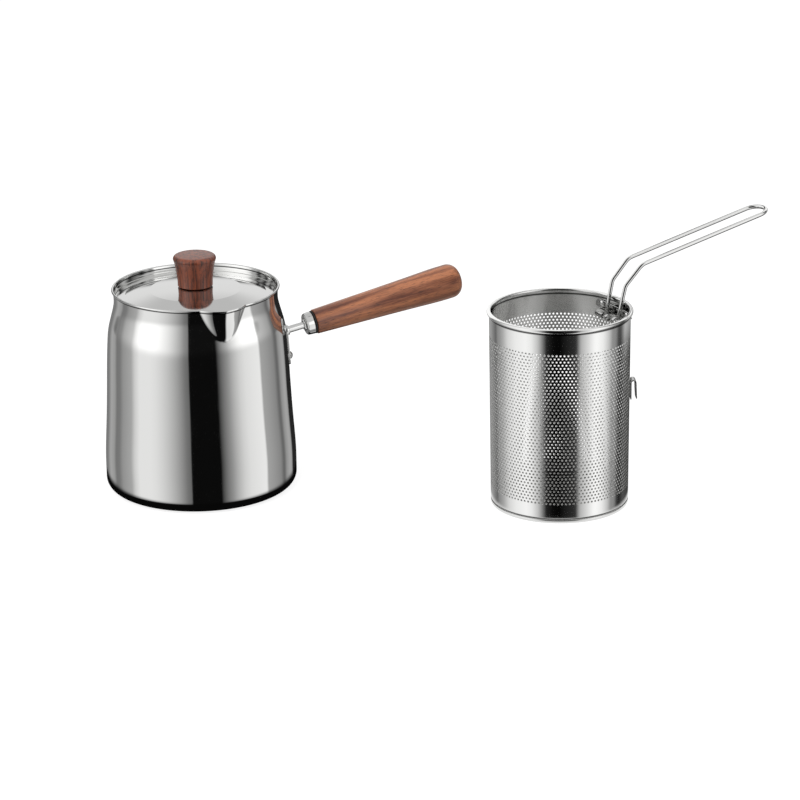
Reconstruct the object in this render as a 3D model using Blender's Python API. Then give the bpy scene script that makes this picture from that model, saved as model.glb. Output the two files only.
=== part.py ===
"""A deep fry pot with a lid, and the perforated basket that stands beside it.

Metres, +Z up. The origin is the centre of the pot's flat underside.
"""

import math

import bmesh
import bpy
from mathutils import Matrix, Quaternion, Vector

# Clearances
GAP = 0.0003
CUT_OVERRUN = 0.002
MERGE = 0.000001

# Pot body
POT_HEIGHT = 0.1400
POT_WALL = 0.0009
POT_NECK_RADIUS = 0.0554
POT_NECK_DEPTH = 0.0075
POT_NECK_BAND = 0.0030
POT_LIP_OUT = 0.0012
POT_LIP_RADIUS = POT_NECK_RADIUS + POT_LIP_OUT
POT_LIP_THICKNESS = 0.0014
POT_LIP_HEIGHT = 0.0024
POT_SHOULDER_OUT = 0.0051
POT_SHOULDER_RADIUS = POT_NECK_RADIUS + POT_SHOULDER_OUT
POT_SHOULDER_DEPTH = 0.0350
POT_BELLY_OUT = 0.0046
POT_BELLY_RADIUS = POT_SHOULDER_RADIUS + POT_BELLY_OUT
POT_BELLY_HEIGHT = 0.0180
POT_FOOT_ROUND = 0.0075
POT_SHOULDER_SHARES = ((0.20, 0.20), (0.40, 0.46), (0.60, 0.72), (0.80, 0.90))
POT_BELLY_SHARES = ((0.35, 0.37), (0.70, 0.72))

# Pouring spout
SPOUT_AZIMUTH = -70.5
SPOUT_REACH = 0.0062
SPOUT_DEPTH = 0.0220
SPOUT_HALF_WIDTH = 0.0148
SPOUT_NOSE_ROUND = 0.0016
SPOUT_SECTOR = 36.0
SPOUT_CURVE = 0.6

# Pot handle, along its own axis from the point where the axis meets the pot's wall
HANDLE_AZIMUTH = 20.0
HANDLE_RISE = 10.1
HANDLE_DROP = 0.0395
ROD_RADIUS = 0.0024
ROD_SOCKET_DEPTH = 0.0030
ROD_GRIP_DEPTH = 0.0300
SOCKET_RADIUS = 0.0042
SOCKET_LENGTH = 0.0045
FERRULE_START = 0.0162
FERRULE_LENGTH = 0.0056
FERRULE_RADIUS = 0.0071
FERRULE_END_RADIUS = 0.0078
FERRULE_WALL = 0.0008
NUT_RADIUS = 0.0042
NUT_THICKNESS = 0.0022
SEAL_THICKNESS = 0.0010
SEAL_RADIUS = 0.0080
GRIP_LENGTH = 0.1080
GRIP_RADIUS = 0.0085
GRIP_END_RADIUS = 0.0119
GRIP_END_ROUND = 0.0082
GRIP_EDGE_ROUND = 0.0006
GRIP_SHARES = ((0.25, 0.27), (0.50, 0.55), (0.72, 0.84), (0.86, 1.0))
INSERT_RADIUS = 0.0044
INSERT_LENGTH = 0.0240

# Saddle and its rivets
SADDLE_THICKNESS = 0.0009
SADDLE_HALF_WIDTH = 0.0160
SADDLE_RISE = 0.0075
SADDLE_FALL = 0.0205
SADDLE_CORNER = 0.0060
POT_RIVET_ANGLE = 11.0
POT_RIVET_FALL = 0.0135
POT_RIVET_RADIUS = 0.0015
POT_RIVET_HEAD = 0.0027
POT_RIVET_DOME = 0.0017

# Lid
LID_THICKNESS = 0.0008
LID_SEAT_WIDENING = 0.0001
LID_RADIUS = POT_NECK_RADIUS - POT_WALL + LID_SEAT_WIDENING - GAP
LID_EDGE_TURN = 0.0011
LID_FLANGE_WIDTH = 0.0065
LID_CONE_RISE = 0.0038
LID_CROWN_RADIUS = 0.0310
LID_CROWN_RISE = 0.0018
LID_CROWN_SHARES = ((0.60, 0.80),)
LID_UNDER_SHARE = 0.25

# Knob and what holds it
KNOB_BASE_RADIUS = 0.0118
KNOB_TOP_RADIUS = 0.0140
KNOB_HEIGHT = 0.0218
KNOB_TOP_ROUND = 0.0025
KNOB_TOP_RISE = 0.0004
KNOB_FOOT_EDGE = 0.0005
KNOB_SHARES = ((0.25, 0.06), (0.55, 0.38), (0.80, 0.84))
KNOB_INSERT_RADIUS = 0.0036
KNOB_INSERT_LENGTH = 0.0120
SCREW_RADIUS = 0.0020
SCREW_HEAD_RADIUS = 0.0042
SCREW_HEAD_HEIGHT = 0.0022
SCREW_REACH = 0.0100
WASHER_RADIUS = 0.0062
WASHER_THICKNESS = 0.0008

# Basket
BASKET_X = 0.2430
BASKET_Y = -0.0450
BASKET_HEIGHT = 0.1345
BASKET_SHEET = 0.0007
BASKET_TOP_RADIUS = 0.0469
BASKET_FOOT_RADIUS = 0.0461
RIM_BEAD = 0.0015
RIM_SHEET = 0.0006
RIM_OUTWARD = 0.0016
RIM_CURL_START = 192.0
RIM_CURL_END = -78.0
RIM_CURL_LAP = 20.0
SEAM_HEIGHT = 0.0022
BOTTOM_SHEET = 0.0006
BOTTOM_FOOT_ROUND = 0.0006
WALL_FOOT_LIFT = 0.0004

# Drain openings in the basket's wall
DRAIN_COLUMNS = 12
DRAIN_ROWS = 8
DRAIN_BOTTOM = 0.0126
DRAIN_TOP = 0.1176
DRAIN_BAR = 0.0118
DRAIN_RAIL = 0.0065

# Basket bracket
HINGE_AZIMUTH = 28.0
HINGE_RADIUS = 0.0400
HINGE_DROP = 0.0140
HINGE_SHEET = 0.0006
PLATE_HALF_WIDTH = 0.0202
PLATE_TOP_DROP = 0.0048
PLATE_BOTTOM_RISE = 0.0038
PLATE_CORNER = 0.0022
KNUCKLE_INNER = 0.0032
KNUCKLE_SLOT_START = 0.0056
KNUCKLE_SLOT_END = 0.0095
KNUCKLE_OUTER = 0.0175
WEB_RISE = 0.0046
WEB_PROUD = 0.0001
BASKET_RIVET_ANGLE = 20.0
BASKET_RIVET_DROP = 0.0072
BASKET_RIVET_RADIUS = 0.0011
BASKET_RIVET_HEAD = 0.0021
BASKET_RIVET_DOME = 0.0011

# Wire handle, in the plane of the handle from the hinge outward and upward
WIRE_RADIUS = 0.0014
HINGE_PLAY = 0.0002
FOOT_HALF_SPREAD = 0.0075
FOOT_REACH = 0.0160
FOOT_BEND = 0.0016
KNEE_REACH = 0.0057
KNEE_RISE = 0.0244
KNEE_BEND = 0.0060
KNEE_HALF_SPREAD = 0.0081
ELBOW_REACH = 0.0183
ELBOW_RISE = 0.0376
ELBOW_BEND = 0.0100
LOOP_HALF_SPREAD = 0.0088
TIP_REACH = 0.1208
TIP_RISE = 0.0606

# Hook strap on the basket's outside
HOOK_AZIMUTH = 2.0
HOOK_DROP = 0.0500
HOOK_SHEET = 0.0008
HOOK_SPACE = 0.0025
HOOK_WIDTH = 0.0080
HOOK_LEG = 0.0130
HOOK_TAB = 0.0115
HOOK_FLARE = 0.0005

# Facets
BODY_STEPS = 54
SPOUT_STEPS = 12
TURN_STEPS = 40
SMALL_STEPS = 24
TINY_STEPS = 14
ARC_STEPS = 4
WIRE_SIDES_RESOLUTION = 2
SMOOTH_ANGLE = math.radians(30.0)

UP = Vector((0.0, 0.0, 1.0))


def clear_scene():
    """Start from an empty scene."""
    for item in list(bpy.data.objects):
        bpy.data.objects.remove(item, do_unlink=True)


def principled(name, colour, metallic, roughness):
    """One material with a Principled shader."""
    material = bpy.data.materials.new(name)
    material.use_nodes = True
    shader = material.node_tree.nodes["Principled BSDF"]
    shader.inputs["Base Color"].default_value = (*colour, 1.0)
    shader.inputs["Metallic"].default_value = metallic
    shader.inputs["Roughness"].default_value = roughness
    return material


def polished_steel(name):
    """Mirror polished stainless steel."""
    return principled(name, (0.78, 0.78, 0.77), 1.0, 0.12)


def satin_steel(name):
    """Stainless steel sheet with a soft finish."""
    return principled(name, (0.66, 0.66, 0.66), 1.0, 0.28)


def turned_wood(name):
    """Dark reddish hardwood."""
    return principled(name, (0.17, 0.055, 0.035), 0.0, 0.42)


def soft_black(name):
    """Black sealing rubber."""
    return principled(name, (0.02, 0.02, 0.02), 0.0, 0.6)


def insert_brass(name):
    """Brass of the threaded inserts."""
    return principled(name, (0.72, 0.52, 0.22), 1.0, 0.35)


def finish_mesh(name, bm, material):
    """Turn a bmesh into a smooth shaded object with outward faces."""
    bmesh.ops.remove_doubles(bm, verts=bm.verts, dist=MERGE)
    bmesh.ops.recalc_face_normals(bm, faces=bm.faces)
    mesh = bpy.data.meshes.new(name)
    bm.to_mesh(mesh)
    bm.free()
    item = bpy.data.objects.new(name, mesh)
    bpy.context.scene.collection.objects.link(item)
    if material:
        mesh.materials.append(material)
        mesh.shade_smooth()
        mesh.set_sharp_from_angle(angle=SMOOTH_ANGLE)
    return item


def hide_helper(item):
    """Mark an object as a cutter or a guide."""
    item.hide_render = True
    item.display_type = "WIRE"
    return item


def arc(centre, radius, start, end, steps=ARC_STEPS):
    """Points of an arc, angles in degrees, both ends included."""
    points = []
    for index in range(steps + 1):
        angle = math.radians(start + (end - start) * index / steps)
        points.append((centre[0] + radius * math.cos(angle), centre[1] + radius * math.sin(angle)))
    return points


def profile_edges(bm, outline, closed):
    """Lay an outline of radius and height in the XZ plane."""
    verts = [bm.verts.new((radius, 0.0, height)) for radius, height in outline]
    pairs = list(zip(verts, verts[1:]))
    if closed:
        pairs.append((verts[-1], verts[0]))
    edges = [bm.edges.new(pair) for pair in pairs]
    return verts + edges


def turned(name, outline, material, steps=TURN_STEPS, closed=True):
    """Spin an outline once round Z; an open outline starts and ends on the axis."""
    bm = bmesh.new()
    geom = profile_edges(bm, outline, closed)
    bmesh.ops.spin(bm, geom=geom, cent=(0, 0, 0), axis=UP, angle=math.tau, steps=steps, use_merge=True)
    return finish_mesh(name, bm, material)


def cylinder_helper(name, radius, low, high, steps=SMALL_STEPS):
    """Plain round helper along local Z."""
    outline = [(0, low), (radius, low), (radius, high), (0, high)]
    return turned(name, outline, None, steps, closed=False)


def prism(name, outline, low, high, material=None):
    """Extrude an outline of X and Y from one height to another."""
    bm = bmesh.new()
    face = bm.faces.new([bm.verts.new((x, y, low)) for x, y in outline])
    raised = bmesh.ops.extrude_face_region(bm, geom=[face])["geom"]
    verts = [part for part in raised if isinstance(part, bmesh.types.BMVert)]
    bmesh.ops.translate(bm, verts=verts, vec=UP * (high - low))
    return finish_mesh(name, bm, material)


def rounded_box(half_width, low, high, corner):
    """Outline of an upright rectangle with rounded corners."""
    left = -half_width + corner
    right = half_width - corner
    points = arc((right, high - corner), corner, 0, 90)
    points += arc((left, high - corner), corner, 90, 180)
    points += arc((left, low + corner), corner, 180, 270)
    points += arc((right, low + corner), corner, 270, 360)
    return points


def combine(item, helper, operation):
    """Boolean with a hidden helper that shares the item's parent."""
    hide_helper(helper)
    modifier = item.modifiers.new(helper.name, "BOOLEAN")
    modifier.operation = operation
    modifier.solver = "EXACT"
    modifier.object = helper


def place(item, parent, location=(0, 0, 0), rotation=(0, 0, 0)):
    """Parent an object and set it by location and rotation."""
    item.parent = parent
    item.location = location
    item.rotation_euler = rotation
    return item


def empty(name, location=(0, 0, 0), rotation=(0, 0, 0), parent=None):
    """An empty that carries a group of pieces."""
    item = bpy.data.objects.new(name, None)
    bpy.context.scene.collection.objects.link(item)
    return place(item, parent, location, rotation)


def facing_out(azimuth):
    """Rotation that turns local Z to point outward at an azimuth."""
    return (0.0, math.radians(90.0), math.radians(azimuth))


def upright_facing(azimuth):
    """Rotation that stands an XY outline upright, its normal outward at an azimuth."""
    return (math.radians(90.0), 0.0, math.radians(90.0 + azimuth))


def polar(radius, azimuth, height):
    """A point from radius, azimuth in degrees and height."""
    angle = math.radians(azimuth)
    return Vector((radius * math.cos(angle), radius * math.sin(angle), height))


# Pot body

def pot_side():
    """Outer side of the pot below the lip, from the neck down to the flat base."""
    neck_low = POT_HEIGHT - POT_NECK_DEPTH - POT_NECK_BAND
    shoulder_height = POT_HEIGHT - POT_SHOULDER_DEPTH
    points = [(POT_NECK_RADIUS, POT_HEIGHT - POT_NECK_DEPTH), (POT_NECK_RADIUS, neck_low)]
    for down, out in POT_SHOULDER_SHARES:
        radius = POT_NECK_RADIUS + (POT_SHOULDER_RADIUS - POT_NECK_RADIUS) * out
        points.append((radius, neck_low + (shoulder_height - neck_low) * down))
    points.append((POT_SHOULDER_RADIUS, shoulder_height))
    for down, out in POT_BELLY_SHARES:
        radius = POT_SHOULDER_RADIUS + (POT_BELLY_RADIUS - POT_SHOULDER_RADIUS) * out
        points.append((radius, shoulder_height + (POT_BELLY_HEIGHT - shoulder_height) * down))
    points.append((POT_BELLY_RADIUS, POT_BELLY_HEIGHT))
    return points


def pot_foot(inset):
    """Rounded corner between side and base, moved inward by a wall."""
    centre = (POT_BELLY_RADIUS - POT_FOOT_ROUND, POT_FOOT_ROUND)
    return arc(centre, POT_FOOT_ROUND - inset, 0, -90)


def pot_outline():
    """Open outline of the pot's wall: outside from the axis, up, over the lip and down inside."""
    bend = POT_LIP_THICKNESS / 2.0
    middle = POT_LIP_RADIUS - bend
    outside = pot_side() + pot_foot(0.0) + [(0.0, 0.0)]
    inside = [(radius - POT_WALL, height) for radius, height in pot_side()]
    inside += pot_foot(POT_WALL) + [(0.0, POT_WALL)]
    lip = arc((middle, POT_HEIGHT - POT_LIP_HEIGHT + bend), bend, -60, 0, steps=2)
    lip += arc((middle, POT_HEIGHT - bend), bend, 0, 180, steps=5)
    return outside[::-1] + lip + inside


def radius_on(side, height):
    """Radius of a side, listed from top to bottom, at a height."""
    for (upper_radius, upper), (lower_radius, lower) in zip(side, side[1:]):
        if lower <= height <= upper:
            share = (upper - height) / (upper - lower)
            return upper_radius + (lower_radius - upper_radius) * share
    return side[-1][0]


def spout_push(point):
    """How far the spout moves a point of the wall outward."""
    depth = POT_HEIGHT - point.z
    if depth >= SPOUT_DEPTH:
        return 0.0
    turn = math.atan2(point.y, point.x) - math.radians(SPOUT_AZIMUTH)
    turn = (turn + math.pi) % math.tau - math.pi
    left_share = 1.0 - depth / SPOUT_DEPTH
    aside = math.hypot(turn * point.xy.length, SPOUT_NOSE_ROUND) - SPOUT_NOSE_ROUND
    slope = SPOUT_REACH / SPOUT_HALF_WIDTH
    return max(0.0, SPOUT_REACH * left_share ** SPOUT_CURVE - slope * aside)


def make_pot_body(root):
    """Deep pot with a waist below the lip, pushed out to a spout."""
    bm = bmesh.new()
    geom = profile_edges(bm, pot_outline(), closed=False)
    sector = math.radians(SPOUT_SECTOR)
    start = math.radians(SPOUT_AZIMUTH) - sector / 2.0
    bmesh.ops.rotate(bm, verts=bm.verts, cent=(0, 0, 0), matrix=Matrix.Rotation(start, 3, "Z"))
    turn = {"cent": (0, 0, 0), "axis": UP}
    across = bmesh.ops.spin(bm, geom=geom, angle=sector, steps=SPOUT_STEPS, **turn)
    bmesh.ops.spin(bm, geom=across["geom_last"], angle=math.tau - sector, steps=BODY_STEPS, **turn)
    bmesh.ops.remove_doubles(bm, verts=bm.verts, dist=MERGE)
    for vert in bm.verts:
        push = spout_push(vert.co)
        if push > 0.0:
            vert.co.xy += vert.co.xy.normalized() * push
    body = place(finish_mesh("pot_body", bm, polished_steel("pot steel")), root)
    outer = saddle_outer(pot_rivet_height())
    for side, azimuth in pot_rivet_places():
        hole = rivet_hole("pot_rivet_hole_" + side, POT_RIVET_RADIUS, outer)
        combine(body, place(hole, root, *rivet_pose(azimuth, pot_rivet_height())), "DIFFERENCE")
    return body


# Rivets

def rivet_hole(name, shank, outer):
    """Cutter for a rivet's hole along local Z, from half way out to past an outer radius."""
    return cylinder_helper(name, shank + GAP, outer / 2.0, outer + CUT_OVERRUN, TINY_STEPS)


def rivet_pose(azimuth, height):
    """Location and rotation of a rivet whose axis crosses the vertical axis."""
    return (0.0, 0.0, height), facing_out(azimuth)


def rivet(name, shank, head, dome, inner, outer, material):
    """Rivet along local Z with a domed head past each face of what it holds."""
    centre_drop = (head * head - dome * dome) / (2.0 * dome)
    sweep = math.degrees(math.atan2(head, centre_drop))
    ball = centre_drop + dome
    low = inner - GAP
    high = outer + GAP
    below = [(radius, 2 * low - height) for radius, height in
             arc((0.0, low - centre_drop), ball, 90, 90 - sweep)]
    above = arc((0.0, high - centre_drop), ball, 90 - sweep, 90)
    below[0] = (0.0, below[0][1])
    above[-1] = (0.0, above[-1][1])
    return turned(name, below + [(shank, low), (shank, high)] + above, material, TINY_STEPS, closed=False)


def saddle_outer(height):
    """Outer radius of the saddle at a height."""
    return radius_on(pot_side(), height) + GAP + SADDLE_THICKNESS


def pot_rivet_height():
    """Height of the saddle's rivets."""
    return POT_HEIGHT - HANDLE_DROP - POT_RIVET_FALL


def pot_rivet_places():
    """The saddle's two rivets by name and azimuth."""
    return (("front", HANDLE_AZIMUTH - POT_RIVET_ANGLE), ("back", HANDLE_AZIMUTH + POT_RIVET_ANGLE))


def make_pot_rivets(root):
    """Rivets through saddle and wall."""
    height = pot_rivet_height()
    inner = radius_on(pot_side(), height) - POT_WALL
    steel = polished_steel("pot rivet steel")
    for side, azimuth in pot_rivet_places():
        item = rivet("pot_rivet_" + side, POT_RIVET_RADIUS, POT_RIVET_HEAD, POT_RIVET_DOME,
                     inner, saddle_outer(height), steel)
        place(item, root, *rivet_pose(azimuth, height))


# Saddle and pot handle

def handle_axis_start():
    """Where the handle's axis meets the pot's wall."""
    height = POT_HEIGHT - HANDLE_DROP
    return polar(radius_on(pot_side(), height), HANDLE_AZIMUTH, height)


def side_solid(name, outset):
    """Solid of the pot's side moved outward, as a helper."""
    side = [(radius + outset, height) for radius, height in pot_side()]
    return turned(name, [(0, side[0][1])] + side + [(0, side[-1][1])], None, TURN_STEPS * 2, closed=False)


def make_pot_bracket(root, axis):
    """Saddle that follows the pot's side, with the socket of the rod."""
    height = POT_HEIGHT - HANDLE_DROP
    outline = rounded_box(SADDLE_HALF_WIDTH, height - SADDLE_FALL, height + SADDLE_RISE, SADDLE_CORNER)
    steel = polished_steel("saddle steel")
    item = prism("pot_bracket", outline, 0.0, POT_BELLY_RADIUS + SADDLE_HALF_WIDTH, steel)
    place(item, root, (0, 0, 0), upright_facing(HANDLE_AZIMUTH))
    combine(item, place(side_solid("saddle_outside", GAP + SADDLE_THICKNESS), root), "INTERSECT")
    socket = cylinder_helper("saddle_socket", SOCKET_RADIUS, -SOCKET_LENGTH, SOCKET_LENGTH)
    lift = GAP + SADDLE_THICKNESS
    combine(item, place(socket, axis, (0, 0, lift)), "UNION")
    combine(item, place(side_solid("saddle_inside", GAP), root), "DIFFERENCE")
    bore_floor = lift + SOCKET_LENGTH - ROD_SOCKET_DEPTH - GAP
    hole = cylinder_helper("saddle_bore", ROD_RADIUS + GAP, bore_floor, FERRULE_START)
    combine(item, place(hole, axis), "DIFFERENCE")
    outer = saddle_outer(pot_rivet_height())
    for side, azimuth in pot_rivet_places():
        cut = rivet_hole("saddle_rivet_hole_" + side, POT_RIVET_RADIUS, outer)
        combine(item, place(cut, root, *rivet_pose(azimuth, pot_rivet_height())), "DIFFERENCE")
    return item


def seal_start():
    """Distance along the handle's axis at which the seal begins."""
    return FERRULE_START + FERRULE_LENGTH + GAP


def grip_start():
    """Distance along the handle's axis at which the wood begins."""
    return seal_start() + SEAL_THICKNESS + GAP


def rod_end():
    """Distance along the handle's axis at which the rod ends inside the wood."""
    return grip_start() + ROD_GRIP_DEPTH


def make_rod(axis):
    """Steel rod from the socket into the grip's insert."""
    start = GAP + SADDLE_THICKNESS + SOCKET_LENGTH - ROD_SOCKET_DEPTH
    outline = [(0, start), (ROD_RADIUS, start), (ROD_RADIUS, rod_end()), (0, rod_end())]
    place(turned("handle_rod", outline, satin_steel("rod steel"), SMALL_STEPS, closed=False), axis)


def make_nut(axis):
    """Hexagonal nut on the rod, partly inside the ferrule."""
    bore = ROD_RADIUS + GAP
    low = FERRULE_START - NUT_THICKNESS / 2.0
    high = low + NUT_THICKNESS
    corners = arc((0.0, 0.0), NUT_RADIUS, 0, 300, steps=5)
    nut = place(prism("handle_nut", corners, low, high, satin_steel("nut steel")), axis)
    hole = cylinder_helper("nut_bore", bore, low - CUT_OVERRUN, high + CUT_OVERRUN)
    combine(nut, place(hole, axis), "DIFFERENCE")


def make_ferrule(axis):
    """Collar that widens toward the grip, open in front for the nut."""
    end = FERRULE_START + FERRULE_LENGTH
    mouth = NUT_RADIUS + GAP
    floor = FERRULE_START + NUT_THICKNESS / 2.0 + GAP
    bore = ROD_RADIUS + GAP
    edge = FERRULE_WALL
    outline = [(mouth, FERRULE_START), (FERRULE_RADIUS - edge, FERRULE_START)]
    outline += [(FERRULE_RADIUS, FERRULE_START + edge), (FERRULE_END_RADIUS, end - edge)]
    outline += [(FERRULE_END_RADIUS - edge / 2.0, end), (bore, end), (bore, floor), (mouth, floor)]
    place(turned("handle_ferrule", outline, polished_steel("ferrule steel"), SMALL_STEPS), axis)


def make_seal(axis):
    """Flat ring between the ferrule and the wood."""
    low = seal_start()
    high = low + SEAL_THICKNESS
    bore = ROD_RADIUS + GAP
    outline = [(bore, low), (SEAL_RADIUS, low), (SEAL_RADIUS, high), (bore, high)]
    place(turned("handle_seal", outline, soft_black("seal rubber"), SMALL_STEPS), axis)


def make_grip(axis):
    """Wooden grip that swells toward its rounded end, bored for the insert."""
    start = grip_start()
    end = start + GRIP_LENGTH
    bore = INSERT_RADIUS + GAP
    floor = rod_end() + GAP
    outline = [(0, floor), (bore, floor), (bore, start), (GRIP_RADIUS - GRIP_EDGE_ROUND, start)]
    outline.append((GRIP_RADIUS, start + GRIP_EDGE_ROUND))
    for along, out in GRIP_SHARES:
        radius = GRIP_RADIUS + (GRIP_END_RADIUS - GRIP_RADIUS) * out
        outline.append((radius, start + GRIP_LENGTH * along))
    centre = (GRIP_END_RADIUS - GRIP_END_ROUND, end - GRIP_END_ROUND)
    outline += arc(centre, GRIP_END_ROUND, 0, 80, steps=5)
    outline.append((0, end))
    place(turned("handle_grip", outline, turned_wood("grip wood"), SMALL_STEPS, closed=False), axis)


def make_grip_insert(axis):
    """Threaded sleeve in the wood that the rod screws into."""
    low = grip_start() + GAP
    high = low + INSERT_LENGTH
    bore = ROD_RADIUS + GAP
    outline = [(bore, low), (INSERT_RADIUS, low), (INSERT_RADIUS, high), (bore, high)]
    place(turned("grip_insert", outline, insert_brass("grip insert brass"), SMALL_STEPS), axis)


def make_pot_handle(root):
    """All pieces on the handle's axis, carried by one empty."""
    rise = math.radians(90.0 - HANDLE_RISE)
    axis = empty("pot_handle_axis", handle_axis_start(), (0, rise, math.radians(HANDLE_AZIMUTH)), root)
    make_pot_bracket(root, axis)
    make_rod(axis)
    make_nut(axis)
    make_ferrule(axis)
    make_seal(axis)
    make_grip(axis)
    make_grip_insert(axis)


# Lid and knob

def lid_seat():
    """Height at which the lid's edge rests on the narrowing neck."""
    lip_inside = POT_LIP_RADIUS - POT_LIP_THICKNESS
    neck_inside = POT_NECK_RADIUS - POT_WALL
    share = (LID_RADIUS + GAP - neck_inside) / (lip_inside - neck_inside)
    return POT_HEIGHT - POT_NECK_DEPTH + (POT_NECK_DEPTH - POT_LIP_THICKNESS / 2.0) * share


def lid_top():
    """Upper outline of the lid from its centre out to the flange, above the lid's seat."""
    flange = LID_EDGE_TURN
    crown = flange + LID_CONE_RISE
    inner = LID_RADIUS - LID_FLANGE_WIDTH
    points = [(0.0, crown + LID_CROWN_RISE)]
    for out, up in LID_CROWN_SHARES:
        points.append((LID_CROWN_RADIUS * out, crown + LID_CROWN_RISE * up))
    return points + [(LID_CROWN_RADIUS, crown), (inner, flange), (LID_RADIUS - LID_THICKNESS, flange)]


def crown_drop(radius):
    """How far the lid's crown has fallen at a small radius."""
    out, up = LID_CROWN_SHARES[0]
    return LID_CROWN_RISE * (1.0 - up) * radius / (LID_CROWN_RADIUS * out)


def make_lid(carrier):
    """Pressed lid: crown, cone, flange and an edge turned down."""
    top = lid_top()
    inset = LID_THICKNESS * LID_UNDER_SHARE
    under = [(max(0.0, radius - inset), height - LID_THICKNESS) for radius, height in top[:-1]]
    shoulder = LID_EDGE_TURN - LID_THICKNESS
    inner = LID_RADIUS - LID_THICKNESS
    edge = [(LID_RADIUS, shoulder), (LID_RADIUS, 0.0), (inner, 0.0), (inner, shoulder)]
    lid = turned("lid_disc", top + edge + under[::-1], polished_steel("lid steel"), closed=False)
    place(lid, carrier)
    hole = cylinder_helper("lid_hole", SCREW_RADIUS + GAP, -CUT_OVERRUN, KNOB_HEIGHT)
    combine(lid, place(hole, carrier), "DIFFERENCE")


def knob_foot():
    """Height of the knob's foot above the lid's seat."""
    return lid_top()[0][1] + GAP


def make_knob(carrier):
    """Turned knob, narrow at the foot, wider at the top, bored for the insert."""
    foot = knob_foot()
    top = foot + KNOB_HEIGHT
    bore = KNOB_INSERT_RADIUS + GAP
    floor = foot + KNOB_INSERT_LENGTH + 2.0 * GAP
    outline = [(0, floor), (bore, floor), (bore, foot), (KNOB_BASE_RADIUS - KNOB_FOOT_EDGE, foot)]
    outline.append((KNOB_BASE_RADIUS, foot + KNOB_FOOT_EDGE))
    for up, out in KNOB_SHARES:
        radius = KNOB_BASE_RADIUS + (KNOB_TOP_RADIUS - KNOB_BASE_RADIUS) * out
        outline.append((radius, foot + KNOB_HEIGHT * up))
    round_low = top - KNOB_TOP_RISE - KNOB_TOP_ROUND
    outline += arc((KNOB_TOP_RADIUS - KNOB_TOP_ROUND, round_low), KNOB_TOP_ROUND, 0, 90)
    outline.append((0, top))
    knob = turned("lid_knob", outline, turned_wood("knob wood"), SMALL_STEPS, closed=False)
    place(knob, carrier)


def make_knob_insert(carrier):
    """Threaded sleeve in the knob."""
    low = knob_foot() + GAP
    high = low + KNOB_INSERT_LENGTH
    bore = SCREW_RADIUS + GAP
    outline = [(bore, low), (KNOB_INSERT_RADIUS, low), (KNOB_INSERT_RADIUS, high), (bore, high)]
    place(turned("knob_insert", outline, insert_brass("knob insert brass"), TINY_STEPS), carrier)


def make_knob_screw(carrier):
    """Screw from below, and its washer against the lid's underside."""
    drop = crown_drop(WASHER_RADIUS + LID_THICKNESS * LID_UNDER_SHARE)
    under = lid_top()[0][1] - LID_THICKNESS - GAP - drop
    washer_low = under - WASHER_THICKNESS
    bore = SCREW_RADIUS + GAP
    ring = [(bore, washer_low), (WASHER_RADIUS, washer_low), (WASHER_RADIUS, under), (bore, under)]
    place(turned("knob_washer", ring, satin_steel("washer steel"), SMALL_STEPS), carrier)
    head_top = washer_low - GAP
    head_low = head_top - SCREW_HEAD_HEIGHT
    tip = knob_foot() + SCREW_REACH
    edge = SCREW_HEAD_HEIGHT / 2.0
    outline = [(0, head_low), (SCREW_HEAD_RADIUS - edge, head_low), (SCREW_HEAD_RADIUS, head_low + edge)]
    outline += [(SCREW_HEAD_RADIUS, head_top), (SCREW_RADIUS, head_top), (SCREW_RADIUS, tip), (0, tip)]
    screw = turned("knob_screw", outline, satin_steel("screw steel"), TINY_STEPS, closed=False)
    place(screw, carrier)


def make_lid_group(root):
    """Lid, knob and fasteners, carried by one empty on the lid's seat."""
    carrier = empty("lid_lift", (0, 0, lid_seat()), parent=root)
    make_lid(carrier)
    make_knob(carrier)
    make_knob_insert(carrier)
    make_knob_screw(carrier)


# Basket

def wall_radius(height):
    """Outer radius of the basket's slightly tapered wall."""
    share = height / BASKET_HEIGHT
    return BASKET_FOOT_RADIUS + (BASKET_TOP_RADIUS - BASKET_FOOT_RADIUS) * share


def rim_centre():
    """Centre of the rolled rim's section."""
    height = BASKET_HEIGHT - RIM_BEAD
    return (wall_radius(height) + RIM_OUTWARD - RIM_BEAD, height)


def rim_bottom():
    """Height at which the wall meets the rolled rim."""
    return BASKET_HEIGHT - 2.0 * RIM_BEAD


def make_basket_wall(carrier):
    """Wall with drain openings, drawn in at the foot for the seam and rolled outward round a wire on top."""
    drawn_in = BOTTOM_SHEET + GAP
    seam_top = SEAM_HEIGHT + GAP
    foot_low = BOTTOM_SHEET + WALL_FOOT_LIFT
    low = wall_radius(0.0) - drawn_in
    top = rim_bottom()
    rim = rim_centre()
    outside = arc(rim, RIM_BEAD, RIM_CURL_START, RIM_CURL_END, steps=11)
    inside = arc(rim, RIM_BEAD - RIM_SHEET, RIM_CURL_START + RIM_CURL_LAP, RIM_CURL_END, steps=9)
    outline = [(low, foot_low), (low, seam_top), (wall_radius(seam_top), seam_top + drawn_in)]
    outline += [(wall_radius(top), top - RIM_BEAD / 2.0)]
    outline += inside + outside[::-1]
    outline += [(wall_radius(top) - BASKET_SHEET, top - RIM_BEAD / 2.0)]
    outline += [(wall_radius(seam_top) - BASKET_SHEET, seam_top + drawn_in + GAP)]
    outline += [(low - BASKET_SHEET, seam_top + GAP), (low - BASKET_SHEET, foot_low)]
    wall = turned("basket_wall", outline, satin_steel("basket wall steel"))
    place(wall, carrier)
    combine(wall, make_drain_cutter(carrier), "DIFFERENCE")
    for side, azimuth in basket_rivet_places():
        hole = rivet_hole("basket_rivet_hole_" + side, BASKET_RIVET_RADIUS, wall_radius(BASKET_HEIGHT))
        combine(wall, place(hole, carrier, *rivet_pose(azimuth, basket_rivet_height())), "DIFFERENCE")


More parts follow.
